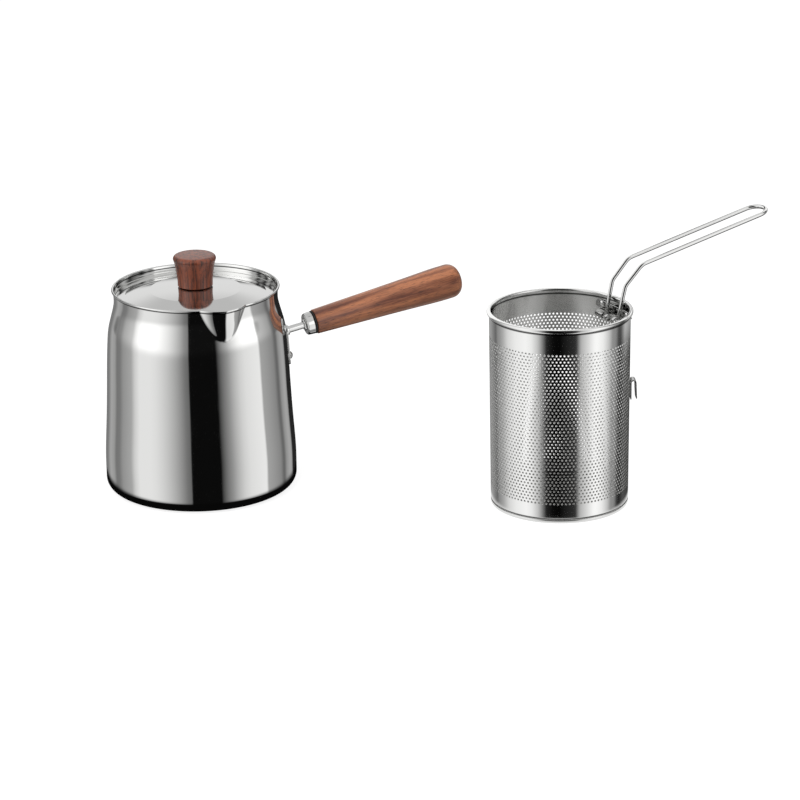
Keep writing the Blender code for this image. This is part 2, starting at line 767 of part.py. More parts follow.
def make_drain_cutter(carrier):
    """Blocks that cut a grid of drain openings, with a bar between two columns behind the hook strap."""
    pitch = math.tau * BASKET_FOOT_RADIUS / DRAIN_COLUMNS
    row_pitch = (DRAIN_TOP - DRAIN_BOTTOM + DRAIN_RAIL) / DRAIN_ROWS
    block = (BASKET_FOOT_RADIUS, pitch - DRAIN_BAR, row_pitch - DRAIN_RAIL)
    bm = bmesh.new()
    for column in range(DRAIN_COLUMNS):
        azimuth = HOOK_AZIMUTH + 360.0 * (column + 0.5) / DRAIN_COLUMNS
        turn = Matrix.Rotation(math.radians(azimuth), 4, "Z")
        for row in range(DRAIN_ROWS):
            spot = polar(BASKET_FOOT_RADIUS, azimuth, DRAIN_BOTTOM + block[2] / 2.0 + row_pitch * row)
            matrix = Matrix.Translation(spot) @ turn @ Matrix.Diagonal((*block, 1.0))
            bmesh.ops.create_cube(bm, size=1.0, matrix=matrix)
    return place(finish_mesh("basket_drain_openings", bm, None), carrier)


def make_rim_wire(carrier):
    """Round wire that the rim is rolled about."""
    radius = RIM_BEAD - RIM_SHEET - GAP
    outline = arc(rim_centre(), radius, 0, 315, steps=7)
    place(turned("basket_rim_wire", outline, satin_steel("rim wire steel")), carrier)


def make_basket_bottom(carrier):
    """Shallow cup whose rim wraps the drawn-in foot of the wall."""
    outer = wall_radius(0.0)
    corner = arc((outer - BOTTOM_FOOT_ROUND, BOTTOM_FOOT_ROUND), BOTTOM_FOOT_ROUND, -90, 0, steps=3)
    inner = outer - BOTTOM_SHEET
    outline = [(0, 0)] + corner + [(outer, SEAM_HEIGHT), (inner, SEAM_HEIGHT), (inner, BOTTOM_SHEET),
                                   (0, BOTTOM_SHEET)]
    bottom = turned("basket_bottom", outline, satin_steel("basket bottom steel"), closed=False)
    place(bottom, carrier)


# Basket bracket

def hinge_height():
    """Height of the wire handle's hinge."""
    return BASKET_HEIGHT - HINGE_DROP


def plate_outer():
    """Outer radius of the bracket's plate, just inside the wall."""
    return wall_radius(hinge_height()) - BASKET_SHEET - GAP


def knuckle_bore():
    """Radius of the rolled knuckles' bore."""
    return WIRE_RADIUS + HINGE_PLAY


def knuckle_outline():
    """Section of a knuckle: a round barrel and the web that joins it to the plate."""
    radius = knuckle_bore() + HINGE_SHEET
    reach = plate_outer() - HINGE_SHEET / 2.0 - HINGE_RADIUS
    distance = math.hypot(reach, WEB_RISE)
    touch = math.degrees(math.atan2(WEB_RISE, reach) + math.acos(radius / distance))
    leave = touch + 360.0 - math.degrees(math.acos(knuckle_bore() / radius))
    normal = math.radians(touch)
    lower = (reach - HINGE_SHEET * math.cos(normal), WEB_RISE - HINGE_SHEET * math.sin(normal))
    return [(reach, WEB_RISE)] + arc((0.0, 0.0), radius, touch, leave, steps=12) + [lower]


def knuckle_spans():
    """Start and end of each knuckle along the hinge."""
    inner = (KNUCKLE_INNER, KNUCKLE_SLOT_START)
    outer = (KNUCKLE_SLOT_END, KNUCKLE_OUTER)
    return (inner, outer, (-inner[1], -inner[0]), (-outer[1], -outer[0]))


def make_basket_bracket(carrier, hinge):
    """Curved plate whose lower edge is rolled into knuckles for the wire's feet."""
    low = hinge_height() + PLATE_BOTTOM_RISE
    high = BASKET_HEIGHT - PLATE_TOP_DROP
    inner = plate_outer() - HINGE_SHEET
    ring = [(inner, low), (plate_outer(), low), (plate_outer(), high), (inner, high)]
    plate = turned("basket_bracket", ring, satin_steel("bracket steel"), TURN_STEPS * 2)
    place(plate, carrier)
    outline = rounded_box(PLATE_HALF_WIDTH, low - CUT_OVERRUN, high, PLATE_CORNER)
    window = prism("bracket_window", outline, 0.0, BASKET_TOP_RADIUS)
    combine(plate, place(window, carrier, (0, 0, 0), upright_facing(HINGE_AZIMUTH)), "INTERSECT")
    for number, (start, end) in enumerate(knuckle_spans()):
        barrel = prism("bracket_knuckle_%d" % number, knuckle_outline(), start, end)
        combine(plate, place(barrel, hinge), "UNION")
    trim = cylinder_helper("bracket_trim", plate_outer() + WEB_PROUD, 0.0, BASKET_HEIGHT, TURN_STEPS * 2)
    combine(plate, place(trim, carrier), "INTERSECT")
    span = KNUCKLE_OUTER + CUT_OVERRUN
    bore = cylinder_helper("bracket_bore", knuckle_bore(), -span, span)
    combine(plate, place(bore, hinge), "DIFFERENCE")
    for side, azimuth in basket_rivet_places():
        cut = rivet_hole("bracket_rivet_hole_" + side, BASKET_RIVET_RADIUS, wall_radius(BASKET_HEIGHT))
        combine(plate, place(cut, carrier, *rivet_pose(azimuth, basket_rivet_height())), "DIFFERENCE")


def basket_rivet_height():
    """Height of the bracket's rivets."""
    return BASKET_HEIGHT - BASKET_RIVET_DROP


def basket_rivet_places():
    """The bracket's two rivets by name and azimuth."""
    return (("right", HINGE_AZIMUTH - BASKET_RIVET_ANGLE), ("left", HINGE_AZIMUTH + BASKET_RIVET_ANGLE))


def make_basket_rivets(carrier):
    """Rivets through bracket and wall."""
    height = basket_rivet_height()
    steel = polished_steel("basket rivet steel")
    for side, azimuth in basket_rivet_places():
        item = rivet("basket_rivet_" + side, BASKET_RIVET_RADIUS, BASKET_RIVET_HEAD, BASKET_RIVET_DOME,
                     plate_outer() - HINGE_SHEET, wall_radius(height), steel)
        place(item, carrier, *rivet_pose(azimuth, height))


# Wire handle

def rounded_route(corners, bends, steps=ARC_STEPS):
    """Route through corners, each one but the ends rounded by an arc of its own radius."""
    points = [corners[0]]
    for before, corner, after, bend in zip(corners, corners[1:], corners[2:], bends):
        back = (before - corner).normalized()
        ahead = (after - corner).normalized()
        half = back.angle(ahead) / 2.0
        centre = corner + (back + ahead).normalized() * (bend / math.sin(half))
        start = corner + back * (bend / math.tan(half))
        end = corner + ahead * (bend / math.tan(half))
        turn = (start - centre).rotation_difference(end - centre)
        for index in range(steps + 1):
            part = Quaternion(turn.axis, turn.angle * index / steps)
            points.append(centre + part @ (start - centre))
    points.append(corners[-1])
    return points


def handle_run():
    """Direction of the wire's long straight run, in hinge coordinates."""
    return Vector((TIP_REACH - ELBOW_REACH, TIP_RISE - ELBOW_RISE, 0.0)).normalized()


def handle_side(sign):
    """One side of the wire from its foot to the start of the end loop, in hinge coordinates."""
    loop_x = TIP_REACH - LOOP_HALF_SPREAD * handle_run().x
    loop_y = TIP_RISE - LOOP_HALF_SPREAD * handle_run().y
    corners = [Vector((0, 0, sign * FOOT_REACH)), Vector((0, 0, sign * FOOT_HALF_SPREAD)),
               Vector((KNEE_REACH, KNEE_RISE, sign * KNEE_HALF_SPREAD)),
               Vector((ELBOW_REACH, ELBOW_RISE, sign * LOOP_HALF_SPREAD)),
               Vector((loop_x, loop_y, sign * LOOP_HALF_SPREAD))]
    return rounded_route(corners, (FOOT_BEND, KNEE_BEND, ELBOW_BEND))


def end_loop():
    """Half circle that joins the two sides at the handle's end."""
    run = handle_run()
    centre = Vector((TIP_REACH, TIP_RISE, 0.0)) - run * LOOP_HALF_SPREAD
    points = []
    for along, aside in arc((0.0, 0.0), LOOP_HALF_SPREAD, -90, 90, steps=10)[1:-1]:
        points.append(centre + run * along + Vector((0, 0, aside)))
    return points


def make_basket_handle(hinge):
    """One bent wire from foot to foot round the end loop."""
    route = handle_side(-1.0) + end_loop() + handle_side(1.0)[::-1]
    curve = bpy.data.curves.new("basket_handle", "CURVE")
    curve.dimensions = "3D"
    curve.bevel_depth = WIRE_RADIUS
    curve.bevel_resolution = WIRE_SIDES_RESOLUTION
    curve.use_fill_caps = True
    spline = curve.splines.new("POLY")
    spline.points.add(len(route) - 1)
    for point, spot in zip(spline.points, route):
        point.co = (*spot, 1.0)
    curve.materials.append(polished_steel("handle wire steel"))
    item = bpy.data.objects.new("basket_handle", curve)
    bpy.context.scene.collection.objects.link(item)
    place(item, hinge)


# Hook

def make_hook(carrier):
    """Strap fixed to the wall that turns over and down again, open below."""
    top = BASKET_HEIGHT - HOOK_DROP
    near = wall_radius(top) + GAP
    far = near + 2.0 * HOOK_SHEET + HOOK_SPACE
    outer_bend = (far - near) / 2.0
    inner_bend = outer_bend - HOOK_SHEET
    centre = ((near + far) / 2.0, top - outer_bend)
    tab_low = centre[1] - HOOK_TAB
    leg_low = centre[1] - HOOK_LEG + outer_bend
    outline = [(near, tab_low)] + arc(centre, outer_bend, 180, 0, steps=6)
    outline += [(far + HOOK_FLARE, leg_low), (far + HOOK_FLARE - HOOK_SHEET, leg_low)]
    outline += arc(centre, inner_bend, 0, 180, steps=6) + [(near + HOOK_SHEET, tab_low)]
    half = HOOK_WIDTH / 2.0
    strap = prism("basket_hook", outline, -half, half, satin_steel("hook steel"))
    place(strap, carrier, (0, 0, 0), (math.radians(90.0), 0.0, math.radians(HOOK_AZIMUTH)))


def make_basket_group(root):
    """Everything on the basket, carried by one empty at its foot."""
    carrier = empty("basket_lift", (BASKET_X, BASKET_Y, 0), parent=root)
    hinge_turn = (math.radians(90.0), 0.0, math.radians(HINGE_AZIMUTH))
    hinge = empty("basket_hinge", polar(HINGE_RADIUS, HINGE_AZIMUTH, hinge_height()), hinge_turn, carrier)
    make_basket_wall(carrier)
    make_rim_wire(carrier)
    make_basket_bottom(carrier)
    make_basket_bracket(carrier, hinge)
    make_basket_rivets(carrier)
    make_basket_handle(hinge)
    make_hook(carrier)


def main():
    """Build the whole part."""
    clear_scene()
    root = empty("part_origin")
    make_pot_body(root)
    make_pot_rivets(root)
    make_pot_handle(root)
    make_lid_group(root)
    make_basket_group(root)


main()
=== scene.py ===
"""Looks of a deep fry pot with its lid and perforated basket, round the packed model.

Metres, +Z up, in the packed model's frame. Every piece is a surface worked out as whole arrays of points.
"""

import bpy
import numpy as np
from bpy.props import FloatProperty, FloatVectorProperty, IntProperty, PointerProperty
from mathutils import Matrix, Vector


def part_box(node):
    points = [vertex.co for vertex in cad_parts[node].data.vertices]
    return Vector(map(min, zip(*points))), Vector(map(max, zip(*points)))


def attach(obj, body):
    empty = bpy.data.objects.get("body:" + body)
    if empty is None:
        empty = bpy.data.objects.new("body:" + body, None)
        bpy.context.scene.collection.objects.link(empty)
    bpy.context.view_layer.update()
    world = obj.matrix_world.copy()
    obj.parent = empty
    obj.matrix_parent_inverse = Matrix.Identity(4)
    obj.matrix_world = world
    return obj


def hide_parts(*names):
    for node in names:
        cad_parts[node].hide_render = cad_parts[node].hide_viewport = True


bl_info = {
    "name": "Deep fry pot with basket",
    "version": (1, 0, 0),
    "blender": (4, 5, 0),
    "location": "View3D > Sidebar > Fry Pot",
    "description": "Builds the pot, lid, basket, finishes and studio round the packed model",
    "category": "Object",
}

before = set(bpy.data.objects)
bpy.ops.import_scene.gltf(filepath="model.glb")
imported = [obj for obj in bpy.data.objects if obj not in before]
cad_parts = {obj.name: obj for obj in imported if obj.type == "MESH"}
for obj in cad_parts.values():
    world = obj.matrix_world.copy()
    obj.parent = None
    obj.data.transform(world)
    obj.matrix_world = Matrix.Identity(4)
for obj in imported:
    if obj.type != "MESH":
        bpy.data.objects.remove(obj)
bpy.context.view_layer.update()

TAU = 2.0 * np.pi
GAP = 0.0003
ROUND_COLUMNS = 96

# Curved sides, as shares of the way along and of the way across
SHOULDER_SHARES = ((0.20, 0.20), (0.40, 0.46), (0.60, 0.72), (0.80, 0.90))
BELLY_SHARES = ((0.35, 0.37), (0.70, 0.72))
GRIP_SHARES = ((0.0, 0.0), (0.25, 0.27), (0.50, 0.55), (0.72, 0.84), (0.86, 1.0))
KNOB_SHARES = ((0.0, 0.0), (0.25, 0.06), (0.55, 0.38), (0.80, 0.84), (0.88, 1.0))

# Pot: height of the belly, where shoulder, neck and lip lie under the top, and degrees of finer columns at the spout
BELLY_HEIGHT, SHOULDER_DROP, NECK_DROP, LIP_DROP, SPOUT_SECTOR = 0.0180, 0.0350, 0.0105, 0.0030, 50.0

# Saddle: its reach below and above the handle's start, its corners, the rivets' drop, and the socket and its bore
SADDLE_BELOW, SADDLE_ABOVE, SADDLE_CORNER, SADDLE_RIVETS = 0.0205, 0.0075, 0.0060, 0.0135
SOCKET, SOCKET_DEPTH = 0.0030, 0.0015

# Handle: half of the nut and its radius, the seal, the radius of the insert, the rod in the grip, the end's rounding
NUT_HALF, NUT_RADIUS, SEAL, GRIP_INSERT, ROD_DEPTH, GRIP_ROUND = 0.0011, 0.0042, 0.0010, 0.0044, 0.0300, 0.0082

# Lid: height of the rim's top, radius and length of the knob's insert, radii of the screw and its head
FLANGE_RISE, KNOB_INSERT, KNOB_INSERT_DEPTH, SCREW, SCREW_HEAD = 0.0011, 0.0036, 0.0120, 0.0020, 0.0042

# Basket: the thin sheet of rim, bottom and bracket, and the wire's hinge under the rim and out from the axis
THIN, HINGE_DROP, HINGE_REACH = 0.0006, 0.0140, 0.0400

# Noise scales of brushing lines, of turning marks, of clouds of roughness and of the sheet's slow swell, and the
# heights between which the basket's inner side goes from matt with painted light to metallic
SHEET_LINES, TURNING, CLOUDS, SWELL = (60.0, 60.0, 3200.0), (900.0, 900.0, 900.0), 60.0, 45.0
MATT_PAINTED_LIGHT_TO_METAL = (0.086, 0.106)

# Studio: camera's aim, lamps' aim and size, floor's half width and its white, and tents: height of the middle,
# radius, height from which the rise is counted, and the parting plane's direction and distance from the pot's axis
CAMERA_AIM, LAMP_AIM, LAMP_SIZE, FLOOR_REACH, FLOOR_WHITE = (0.1366, 0.0, 0.0568), (0.12, 0.0, 0.06), 1.6, 9.0, 1.17
TENT_HEIGHT, TENT_RADIUS, RISE_HEIGHT, PLANE_TURN, PLANE_DISTANCE = 0.07, 3.0, 0.12, -30.0, 0.1600


# Settings

def length(name, description, default):
    """A length in metres."""
    return FloatProperty(name=name, description=description, default=default, min=0.0, precision=4, unit="LENGTH")


def degrees(name, description, default):
    """An angle kept in radians and given in degrees."""
    return FloatProperty(name=name, description=description, default=np.radians(default), subtype="ANGLE")


def share(name, description, default):
    """A number from 0 to 1."""
    return FloatProperty(name=name, description=description, default=default, min=0.0, max=1.0, subtype="FACTOR")


def colour(name, description, default):
    """A linear colour."""
    return FloatVectorProperty(name=name, description=description, default=default, size=3, min=0.0, max=1.0,
                               subtype="COLOR")


class PotSizes(bpy.types.PropertyGroup):
    """Sizes of the pot's body and its spout"""
    height: length("Height", "Height of the lip's top edge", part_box("pot_body")[1].z)
    wall: length("Wall", "Thickness of the sheet", 0.0009)
    belly: length("Belly radius", "Largest radius of the body", -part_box("pot_body")[0].x)
    shoulder: length("Shoulder radius", "Radius where the waist ends", 0.0605)
    neck: length("Neck radius", "Smallest outer radius, under the lip", 0.0554)
    lip: length("Lip radius", "Outer radius of the rolled lip", 0.0566)
    foot: length("Foot round", "Radius of the corner between side and base", 0.0075)
    spout_turn: degrees("Spout direction", "Azimuth of the pouring spout", -67.5)
    spout_reach: length("Spout reach", "How far the spout stands out at the lip", 0.0064)
    spout_depth: length("Spout depth", "How far the spout runs down the wall", 0.0222)
    spout_half: length("Spout half width", "Half of the spout's width at the lip", 0.0162)


class HandleSizes(bpy.types.PropertyGroup):
    """Sizes of the pot's handle, saddle and rivets"""
    turn: degrees("Direction", "Azimuth of the handle", 20.0)
    rise: degrees("Rise", "Upward slope of the handle", 10.1)
    drop: length("Drop", "Height of the lip above the handle's start", 0.0395)
    rod: length("Rod radius", "Radius of the steel rod", 0.0024)
    ferrule: length("Ferrule start", "Distance from the wall to the ferrule", 0.0162)
    ferrule_length: length("Ferrule length", "Length of the steel ferrule", 0.0056)
    grip_length: length("Grip length", "Length of the wooden grip", 0.1080)
    grip_start: length("Grip radius", "Radius of the grip at the ferrule", 0.0085)
    grip_end: length("Grip end radius", "Largest radius of the grip", 0.01183)
    plate_half: length("Saddle half width", "Half of the saddle's width", 0.0160)
    plate: length("Saddle thickness", "Thickness of the saddle's sheet", 0.0009)
    rivet_head: length("Rivet head", "Radius of the rivets' heads", 0.0027)


class LidSizes(bpy.types.PropertyGroup):
    """Sizes of the lid and its knob"""
    radius: length("Lid radius", "Outer radius of the lid", 0.0543)
    thickness: length("Lid thickness", "Thickness of the lid's sheet", 0.0008)
    flange: length("Flange width", "Width of the flat ring at the edge", 0.0065)
    cone: length("Cone rise", "Height of the sloping ring", 0.0038)
    crown: length("Crown radius", "Radius of the domed centre", 0.0310)
    dome: length("Crown rise", "Height of the domed centre", 0.0018)
    knob_foot: length("Knob foot radius", "Radius of the knob on the lid", 0.0118)
    knob_top: length("Knob top radius", "Largest radius of the knob", 0.0145)
    knob_height: length("Knob height", "Height of the knob", 0.0218)


class BasketSizes(bpy.types.PropertyGroup):
    """Sizes of the basket, its holes, bracket and hook"""
    height: length("Height", "Height of the rim", 0.1345)
    sheet: length("Sheet", "Thickness of the perforated sheet", 0.0007)
    top: length("Top radius", "Outer radius under the rim", 0.0469)
    foot: length("Foot radius", "Outer radius at the foot", 0.0461)
    bead: length("Rim bead", "Radius of the rolled rim", 0.0015)
    hole: length("Hole radius", "Radius of the round holes", 0.00076)
    columns: IntProperty(name="Holes around", description="Holes in one row", default=113, min=24)
    rows: IntProperty(name="Hole rows", description="Rows of holes, an even number", default=48, min=4)
    first_row: length("First row", "Height of the lowest row of holes", 0.0137)
    last_row: length("Last row", "Height of the highest row of holes", 0.1165)
    hinge_turn: degrees("Bracket direction", "Azimuth of the wire handle's bracket", 28.0)
    hook_turn: degrees("Hook direction", "Azimuth of the hook strap", 2.0)


class WireSizes(bpy.types.PropertyGroup):
    """Sizes of the basket's wire handle, in its own plane from the hinge"""
    radius: length("Wire radius", "Radius of the wire", 0.0014)
    foot_reach: length("Foot reach", "Half of the span over both feet", 0.0160)
    foot_spread: length("Foot spread", "Half of the space between the two sides at the hinge", 0.0075)
    loop: length("Loop radius", "Radius of the round end", 0.0087)
    tip_reach: length("Tip reach", "Distance of the end from the hinge", 0.1206)
    tip_rise: length("Tip rise", "Height of the end above the hinge", 0.0602)


class FinishSettings(bpy.types.PropertyGroup):
    """Colours and roughness of the finishes"""
    steel: colour("Steel", "Colour of the stainless steel", (0.80, 0.80, 0.79))
    polish: share("Polish roughness", "Roughness of the polished steel", 0.06)
    sheet: share("Sheet roughness", "Roughness of the bright sheet", 0.13)
    brushed: share("Brushed roughness", "Roughness of the basket's wall", 0.12)
    grip_light: colour("Light grip wood", "Light streaks of the grip's wood", (0.560, 0.205, 0.090))
    grip_dark: colour("Dark grip wood", "Dark streaks of the grip's wood", (0.150, 0.038, 0.016))
    knob_light: colour("Light knob wood", "Light streaks of the knob's wood", (0.300, 0.068, 0.024))
    knob_dark: colour("Dark knob wood", "Dark streaks of the knob's wood", (0.040, 0.009, 0.004))
    brass: colour("Brass", "Colour of the threaded inserts", (0.72, 0.52, 0.22))
    rubber: colour("Rubber", "Colour of the seal", (0.018, 0.018, 0.018))


class StudioSettings(bpy.types.PropertyGroup):
    """Camera, floor and light of the studio"""
    distance: length("Camera distance", "Distance from the camera to its aim", 2.2)
    elevation: degrees("Camera elevation", "Height of the camera above the horizon", 18.84)
    roll: degrees("Camera roll", "Turn of the camera about its own axis", -0.81)
    lens: FloatProperty(name="Lens", description="Focal length in millimetres", default=145.3, min=1.0,
                        unit="CAMERA")
    floor: share("Floor", "How pale the floor is", 0.34)
    key: FloatProperty(name="Key light", description="Power of the soft key light in watts", default=13.0,
                       min=0.0, unit="POWER")
    ambient: share("Ambient", "Strength of the light from all round", 0.6)


# Curves

def smooth_curve(at, knots, values, start=None, end=None):
    """Values at places along a curve through the knots. Each span is a cubic, and the second derivatives at the
    knots solve the linear system that makes the slopes meet; an end is straight or has the slope given for it."""
    at, knots, values = (np.asarray(part, float) for part in (at, knots, values))
    step, rise = np.diff(knots), np.diff(values)
    count = len(knots)
    system, right = np.eye(count), np.zeros(count)
    inner = np.arange(1, count - 1)
    system[inner, inner - 1] = step[:-1]
    system[inner, inner] = 2.0 * (step[:-1] + step[1:])
    system[inner, inner + 1] = step[1:]
    right[inner] = 6.0 * (rise[1:] / step[1:] - rise[:-1] / step[:-1])
    if start is not None:
        system[0, :2] = 2.0 * step[0], step[0]
        right[0] = 6.0 * (rise[0] / step[0] - start)
    if end is not None:
        system[-1, -2:] = step[-1], 2.0 * step[-1]
        right[-1] = 6.0 * (end - rise[-1] / step[-1])
    bend = np.linalg.solve(system, right)
    span = np.clip(np.searchsorted(knots, at) - 1, 0, count - 2)
    along = at - knots[span]
    slope = rise[span] / step[span] - step[span] * (2.0 * bend[span] + bend[span + 1]) / 6.0
    twist = (bend[span + 1] - bend[span]) / (6.0 * step[span])
    return values[span] + along * (slope + along * (bend[span] / 2.0 + along * twist))


def arc(centre, radius, start, end, steps=8):
    """Points at a radius from a centre, the angle going evenly from start to end in degrees."""
    turn = np.radians(np.linspace(start, end, steps + 1))
    return np.stack([centre[0] + radius * np.cos(turn), centre[1] + radius * np.sin(turn)], -1)


def rounded_line(corners, bends, steps=8):
    """Line through corners, each inner corner replaced by the circular arc of its radius that touches both sides."""
    corners = np.asarray(corners, float)
    parts = [corners[:1]]
    for before, corner, after, bend in zip(corners, corners[1:], corners[2:], bends):
        if bend <= 0.0:
            parts.append(corner[None])
            continue
        back, ahead = before - corner, after - corner
        back, ahead = back / np.linalg.norm(back), ahead / np.linalg.norm(ahead)
        half = np.arccos(np.clip(back @ ahead, -1.0, 1.0)) / 2.0
        centre = corner + (back + ahead) / np.linalg.norm(back + ahead) * bend / np.sin(half)
        first = (corner + back * bend / np.tan(half) - centre) / bend
        last = (corner + ahead * bend / np.tan(half) - centre) / bend
        aside = last - (last @ first) * first
        aside = aside / np.linalg.norm(aside)
        turn = np.linspace(0.0, np.pi - 2.0 * half, steps + 1)[:, None]
        parts.append(centre + bend * (np.cos(turn) * first + np.sin(turn) * aside))
    return np.concatenate(parts + [corners[-1:]])


def join(*parts):
    """One outline from several, in order."""
    return np.concatenate([np.atleast_2d(np.asarray(part, float)) for part in parts])


def rounded_outline(half, low, high, corner, inset):
    """Outline of an upright rectangle with rounded corners, moved inward by an inset."""
    bend = max(corner - inset, 0.0002)
    right, top, bottom = half - inset - bend, high - inset - bend, low + inset + bend
    middles = ((right, top), (-right, top), (-right, bottom), (right, bottom))
    return join(*(arc(middle, bend, 90 * k, 90 * k + 90) for k, middle in enumerate(middles)))


# Meshes

def grid_skin(grid, wrap_rows, wrap_columns):
    """Points of a grid and the corner numbers of the quads between neighbours, row by row."""
    rows, columns = grid.shape[:2]
    number = np.arange(rows * columns).reshape(rows, columns)
    number = np.concatenate([number, number[:1]]) if wrap_rows else number
    number = np.concatenate([number, number[:, :1]], 1) if wrap_columns else number
    corners = (number[:-1, :-1], number[1:, :-1], number[1:, 1:], number[:-1, 1:])
    return grid.reshape(-1, 3), np.stack([part.ravel() for part in corners], -1)


def together(skins):
    """Points and quads of several skins as one list each."""
    points, quads = zip(*skins)
    starts = np.cumsum([0] + [len(part) for part in points])
    return np.concatenate(points), np.concatenate([part + start for part, start in zip(quads, starts)])


def welded(skins, grain):
    """Skins as one in which points that coincide become one, which closes poles and seams. Points coincide when
    they are the same after their coordinates are multiplied by the grain and rounded."""
    points, quads = together(skins)
    whole = np.round(points * grain).astype(np.int64)
    _, first, place = np.unique(whole, axis=0, return_index=True, return_inverse=True)
    return points[first], place.reshape(-1)[quads]


def closed_skin(*patches):
    """One closed skin made of grids. Its faces are turned round if the volume that they enclose is negative."""
    points, quads = welded([grid_skin(*patch) for patch in patches], 1e9)
    across = points[quads[:, 2]] - points[quads[:, 0]]
    along = points[quads[:, 3]] - points[quads[:, 1]]
    middle = points[quads].mean(1) - points.mean(0)
    return points, quads[:, ::-1] if (np.cross(across, along) * middle).sum() < 0.0 else quads


def face_corners(quads):
    """Quads and triangles from quads of which some have a side of no length."""
    same = quads == np.roll(quads, -1, 1)
    thin = same.sum(1) == 1
    return quads[~same.any(1)], quads[thin][~same[thin]].reshape(-1, 3)


def piece(name, skins, finish, body=None, slot=None, stands_for=None, sharp=35.0):
    """A finished object from skins: it rides on its body and stands for its node of the packed model."""
    points, quads = together(skins)
    full, thin = face_corners(quads)
    if not np.isfinite(points).all() or len(full) + len(thin) == 0:
        raise ValueError(name + " came out without a proper surface; check its sizes")
    mesh = bpy.data.meshes.new(name)
    mesh.vertices.add(len(points))
    mesh.vertices.foreach_set("co", points.astype(np.float32).ravel())
    corners = np.concatenate([full.ravel(), thin.ravel()]).astype(np.int32)
    mesh.loops.add(len(corners))
    mesh.loops.foreach_set("vertex_index", corners)
    starts = np.concatenate([np.arange(len(full)) * 4, full.size + np.arange(len(thin)) * 3])
    mesh.polygons.add(len(starts))
    mesh.polygons.foreach_set("loop_start", starts.astype(np.int32))
    mesh.update(calc_edges=True)
    mesh.validate()
    mesh.shade_smooth()
    mesh.set_sharp_from_angle(angle=np.radians(sharp))
    mesh.materials.append(finish)
    item = bpy.data.objects.new(name, mesh)
    bpy.context.scene.collection.objects.link(item)
    if body:
        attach(item, body)
        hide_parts(stands_for)
    return item


def solid(name, patch, *about, **edges):
    """A finished object that is one closed skin of one patch. The rest is what a piece needs."""
    return piece(name, [closed_skin(patch)], *about, **edges)


def at_place(grid, place):
    """Points of a grid turned and moved by a matrix."""
    place = np.array(place)
    return grid @ place[:3, :3].T + place[:3, 3]


def turned(outline, columns=ROUND_COLUMNS, closed=False, place=None, turns=None):
    """Patch of an outline of radius and height turned about the upright axis: x and y are the radius times the
    cosine and sine of the turn. An open outline starts and ends on the axis."""
    turns = np.linspace(0.0, TAU, columns, endpoint=False) if turns is None else turns
    radius, height = np.asarray(outline, float).T
    grid = np.stack([np.outer(np.cos(turns), radius), np.outer(np.sin(turns), radius),
                     np.broadcast_to(height, (len(turns), len(height)))], -1)
    return (grid if place is None else at_place(grid, place), True, closed)


def with_caps(grid):
    """A tube of rings with a pole added at the middle of its first and last ring."""
    first, last = (np.repeat(ring.mean(1, keepdims=True), grid.shape[1], 1) for ring in (grid[:1], grid[-1:]))
    return np.concatenate([first, grid, last]), False, True


def bent_strip(route, thickness, start, end, edge, place):
    """Sheet strip along a flat route, from one width to the other. Its section is a rectangle with cut edges,
    set off from the route along the route's normal, which is its direction turned by a quarter."""
    route = np.asarray(route, float)
    ahead = np.gradient(route, axis=0)
    ahead /= np.linalg.norm(ahead, axis=1, keepdims=True)
    normal = np.stack([-ahead[:, 1], ahead[:, 0]], -1)
    half = thickness / 2.0
    across = np.array([half - edge, half, half, half - edge, edge - half, -half, -half, edge - half])
    wide = np.array([end, end - edge, start + edge, start, start, start + edge, end - edge, end])
    flat = route[:, None] + normal[:, None] * across[None, :, None]
    grid = np.concatenate([flat, np.broadcast_to(wide[None, :, None], flat.shape[:2] + (1,))], -1)
    return closed_skin(with_caps(at_place(grid, place)))


def curved_plate(outline, side, thickness, edge, azimuth):
    """Sheet plate that lies on a round wall; its outline is what a rounded outline needs. A point aside x and at
    height z goes to the wall's radius there plus its depth, at the angle whose sine is x over that radius."""
    curve = np.linspace(0.0, np.pi / 2.0, 4)
    insets, depths = edge * (1.0 - np.sin(curve))[::-1], thickness - edge * (1.0 - np.cos(curve))
    rim, inner, *eased = (rounded_outline(*outline, inset) for inset in (0.0, edge, *insets))
    middle, part = rim.mean(0), np.linspace(0.0, 1.0, 9)[:, None, None]
    flat = np.concatenate([middle + (inner - middle) * part[:-1], eased, rim[None],
                           middle + (rim - middle) * part[-2::-1]])
    deep = np.concatenate([np.full(8, thickness), depths, np.zeros(9)])[:, None]
    radius = side(flat[..., 1]) + deep
    turn = np.arcsin(flat[..., 0] / radius) + azimuth
    return np.stack([radius * np.cos(turn), radius * np.sin(turn), flat[..., 1]], -1), False, True


def rivet(shank, head, dome, inner, outer, azimuth, height):
    """Patch of a rivet along an outward line: a shank between two caps of a ball, each as high as its dome."""
    drop = (head * head - dome * dome) / (2.0 * dome)
    sweep = np.degrees(np.arctan2(head, drop))
    low = arc((0.0, -(inner - GAP) - drop), drop + dome, 90, 90 - sweep, 10) * (1.0, -1.0)
    high = arc((0.0, outer + GAP - drop), drop + dome, 90 - sweep, 90, 10)
    low[0, 0] = high[-1, 0] = 0.0
    outline = join(low, (shank, inner - GAP), (shank, outer + GAP), high)
    place = Matrix.Translation((0, 0, height)) @ Matrix.Rotation(azimuth, 4, "Z") @ Matrix.Rotation(np.pi / 2, 4, "Y")
    return turned(outline, 40, place=place)


# Sides and places

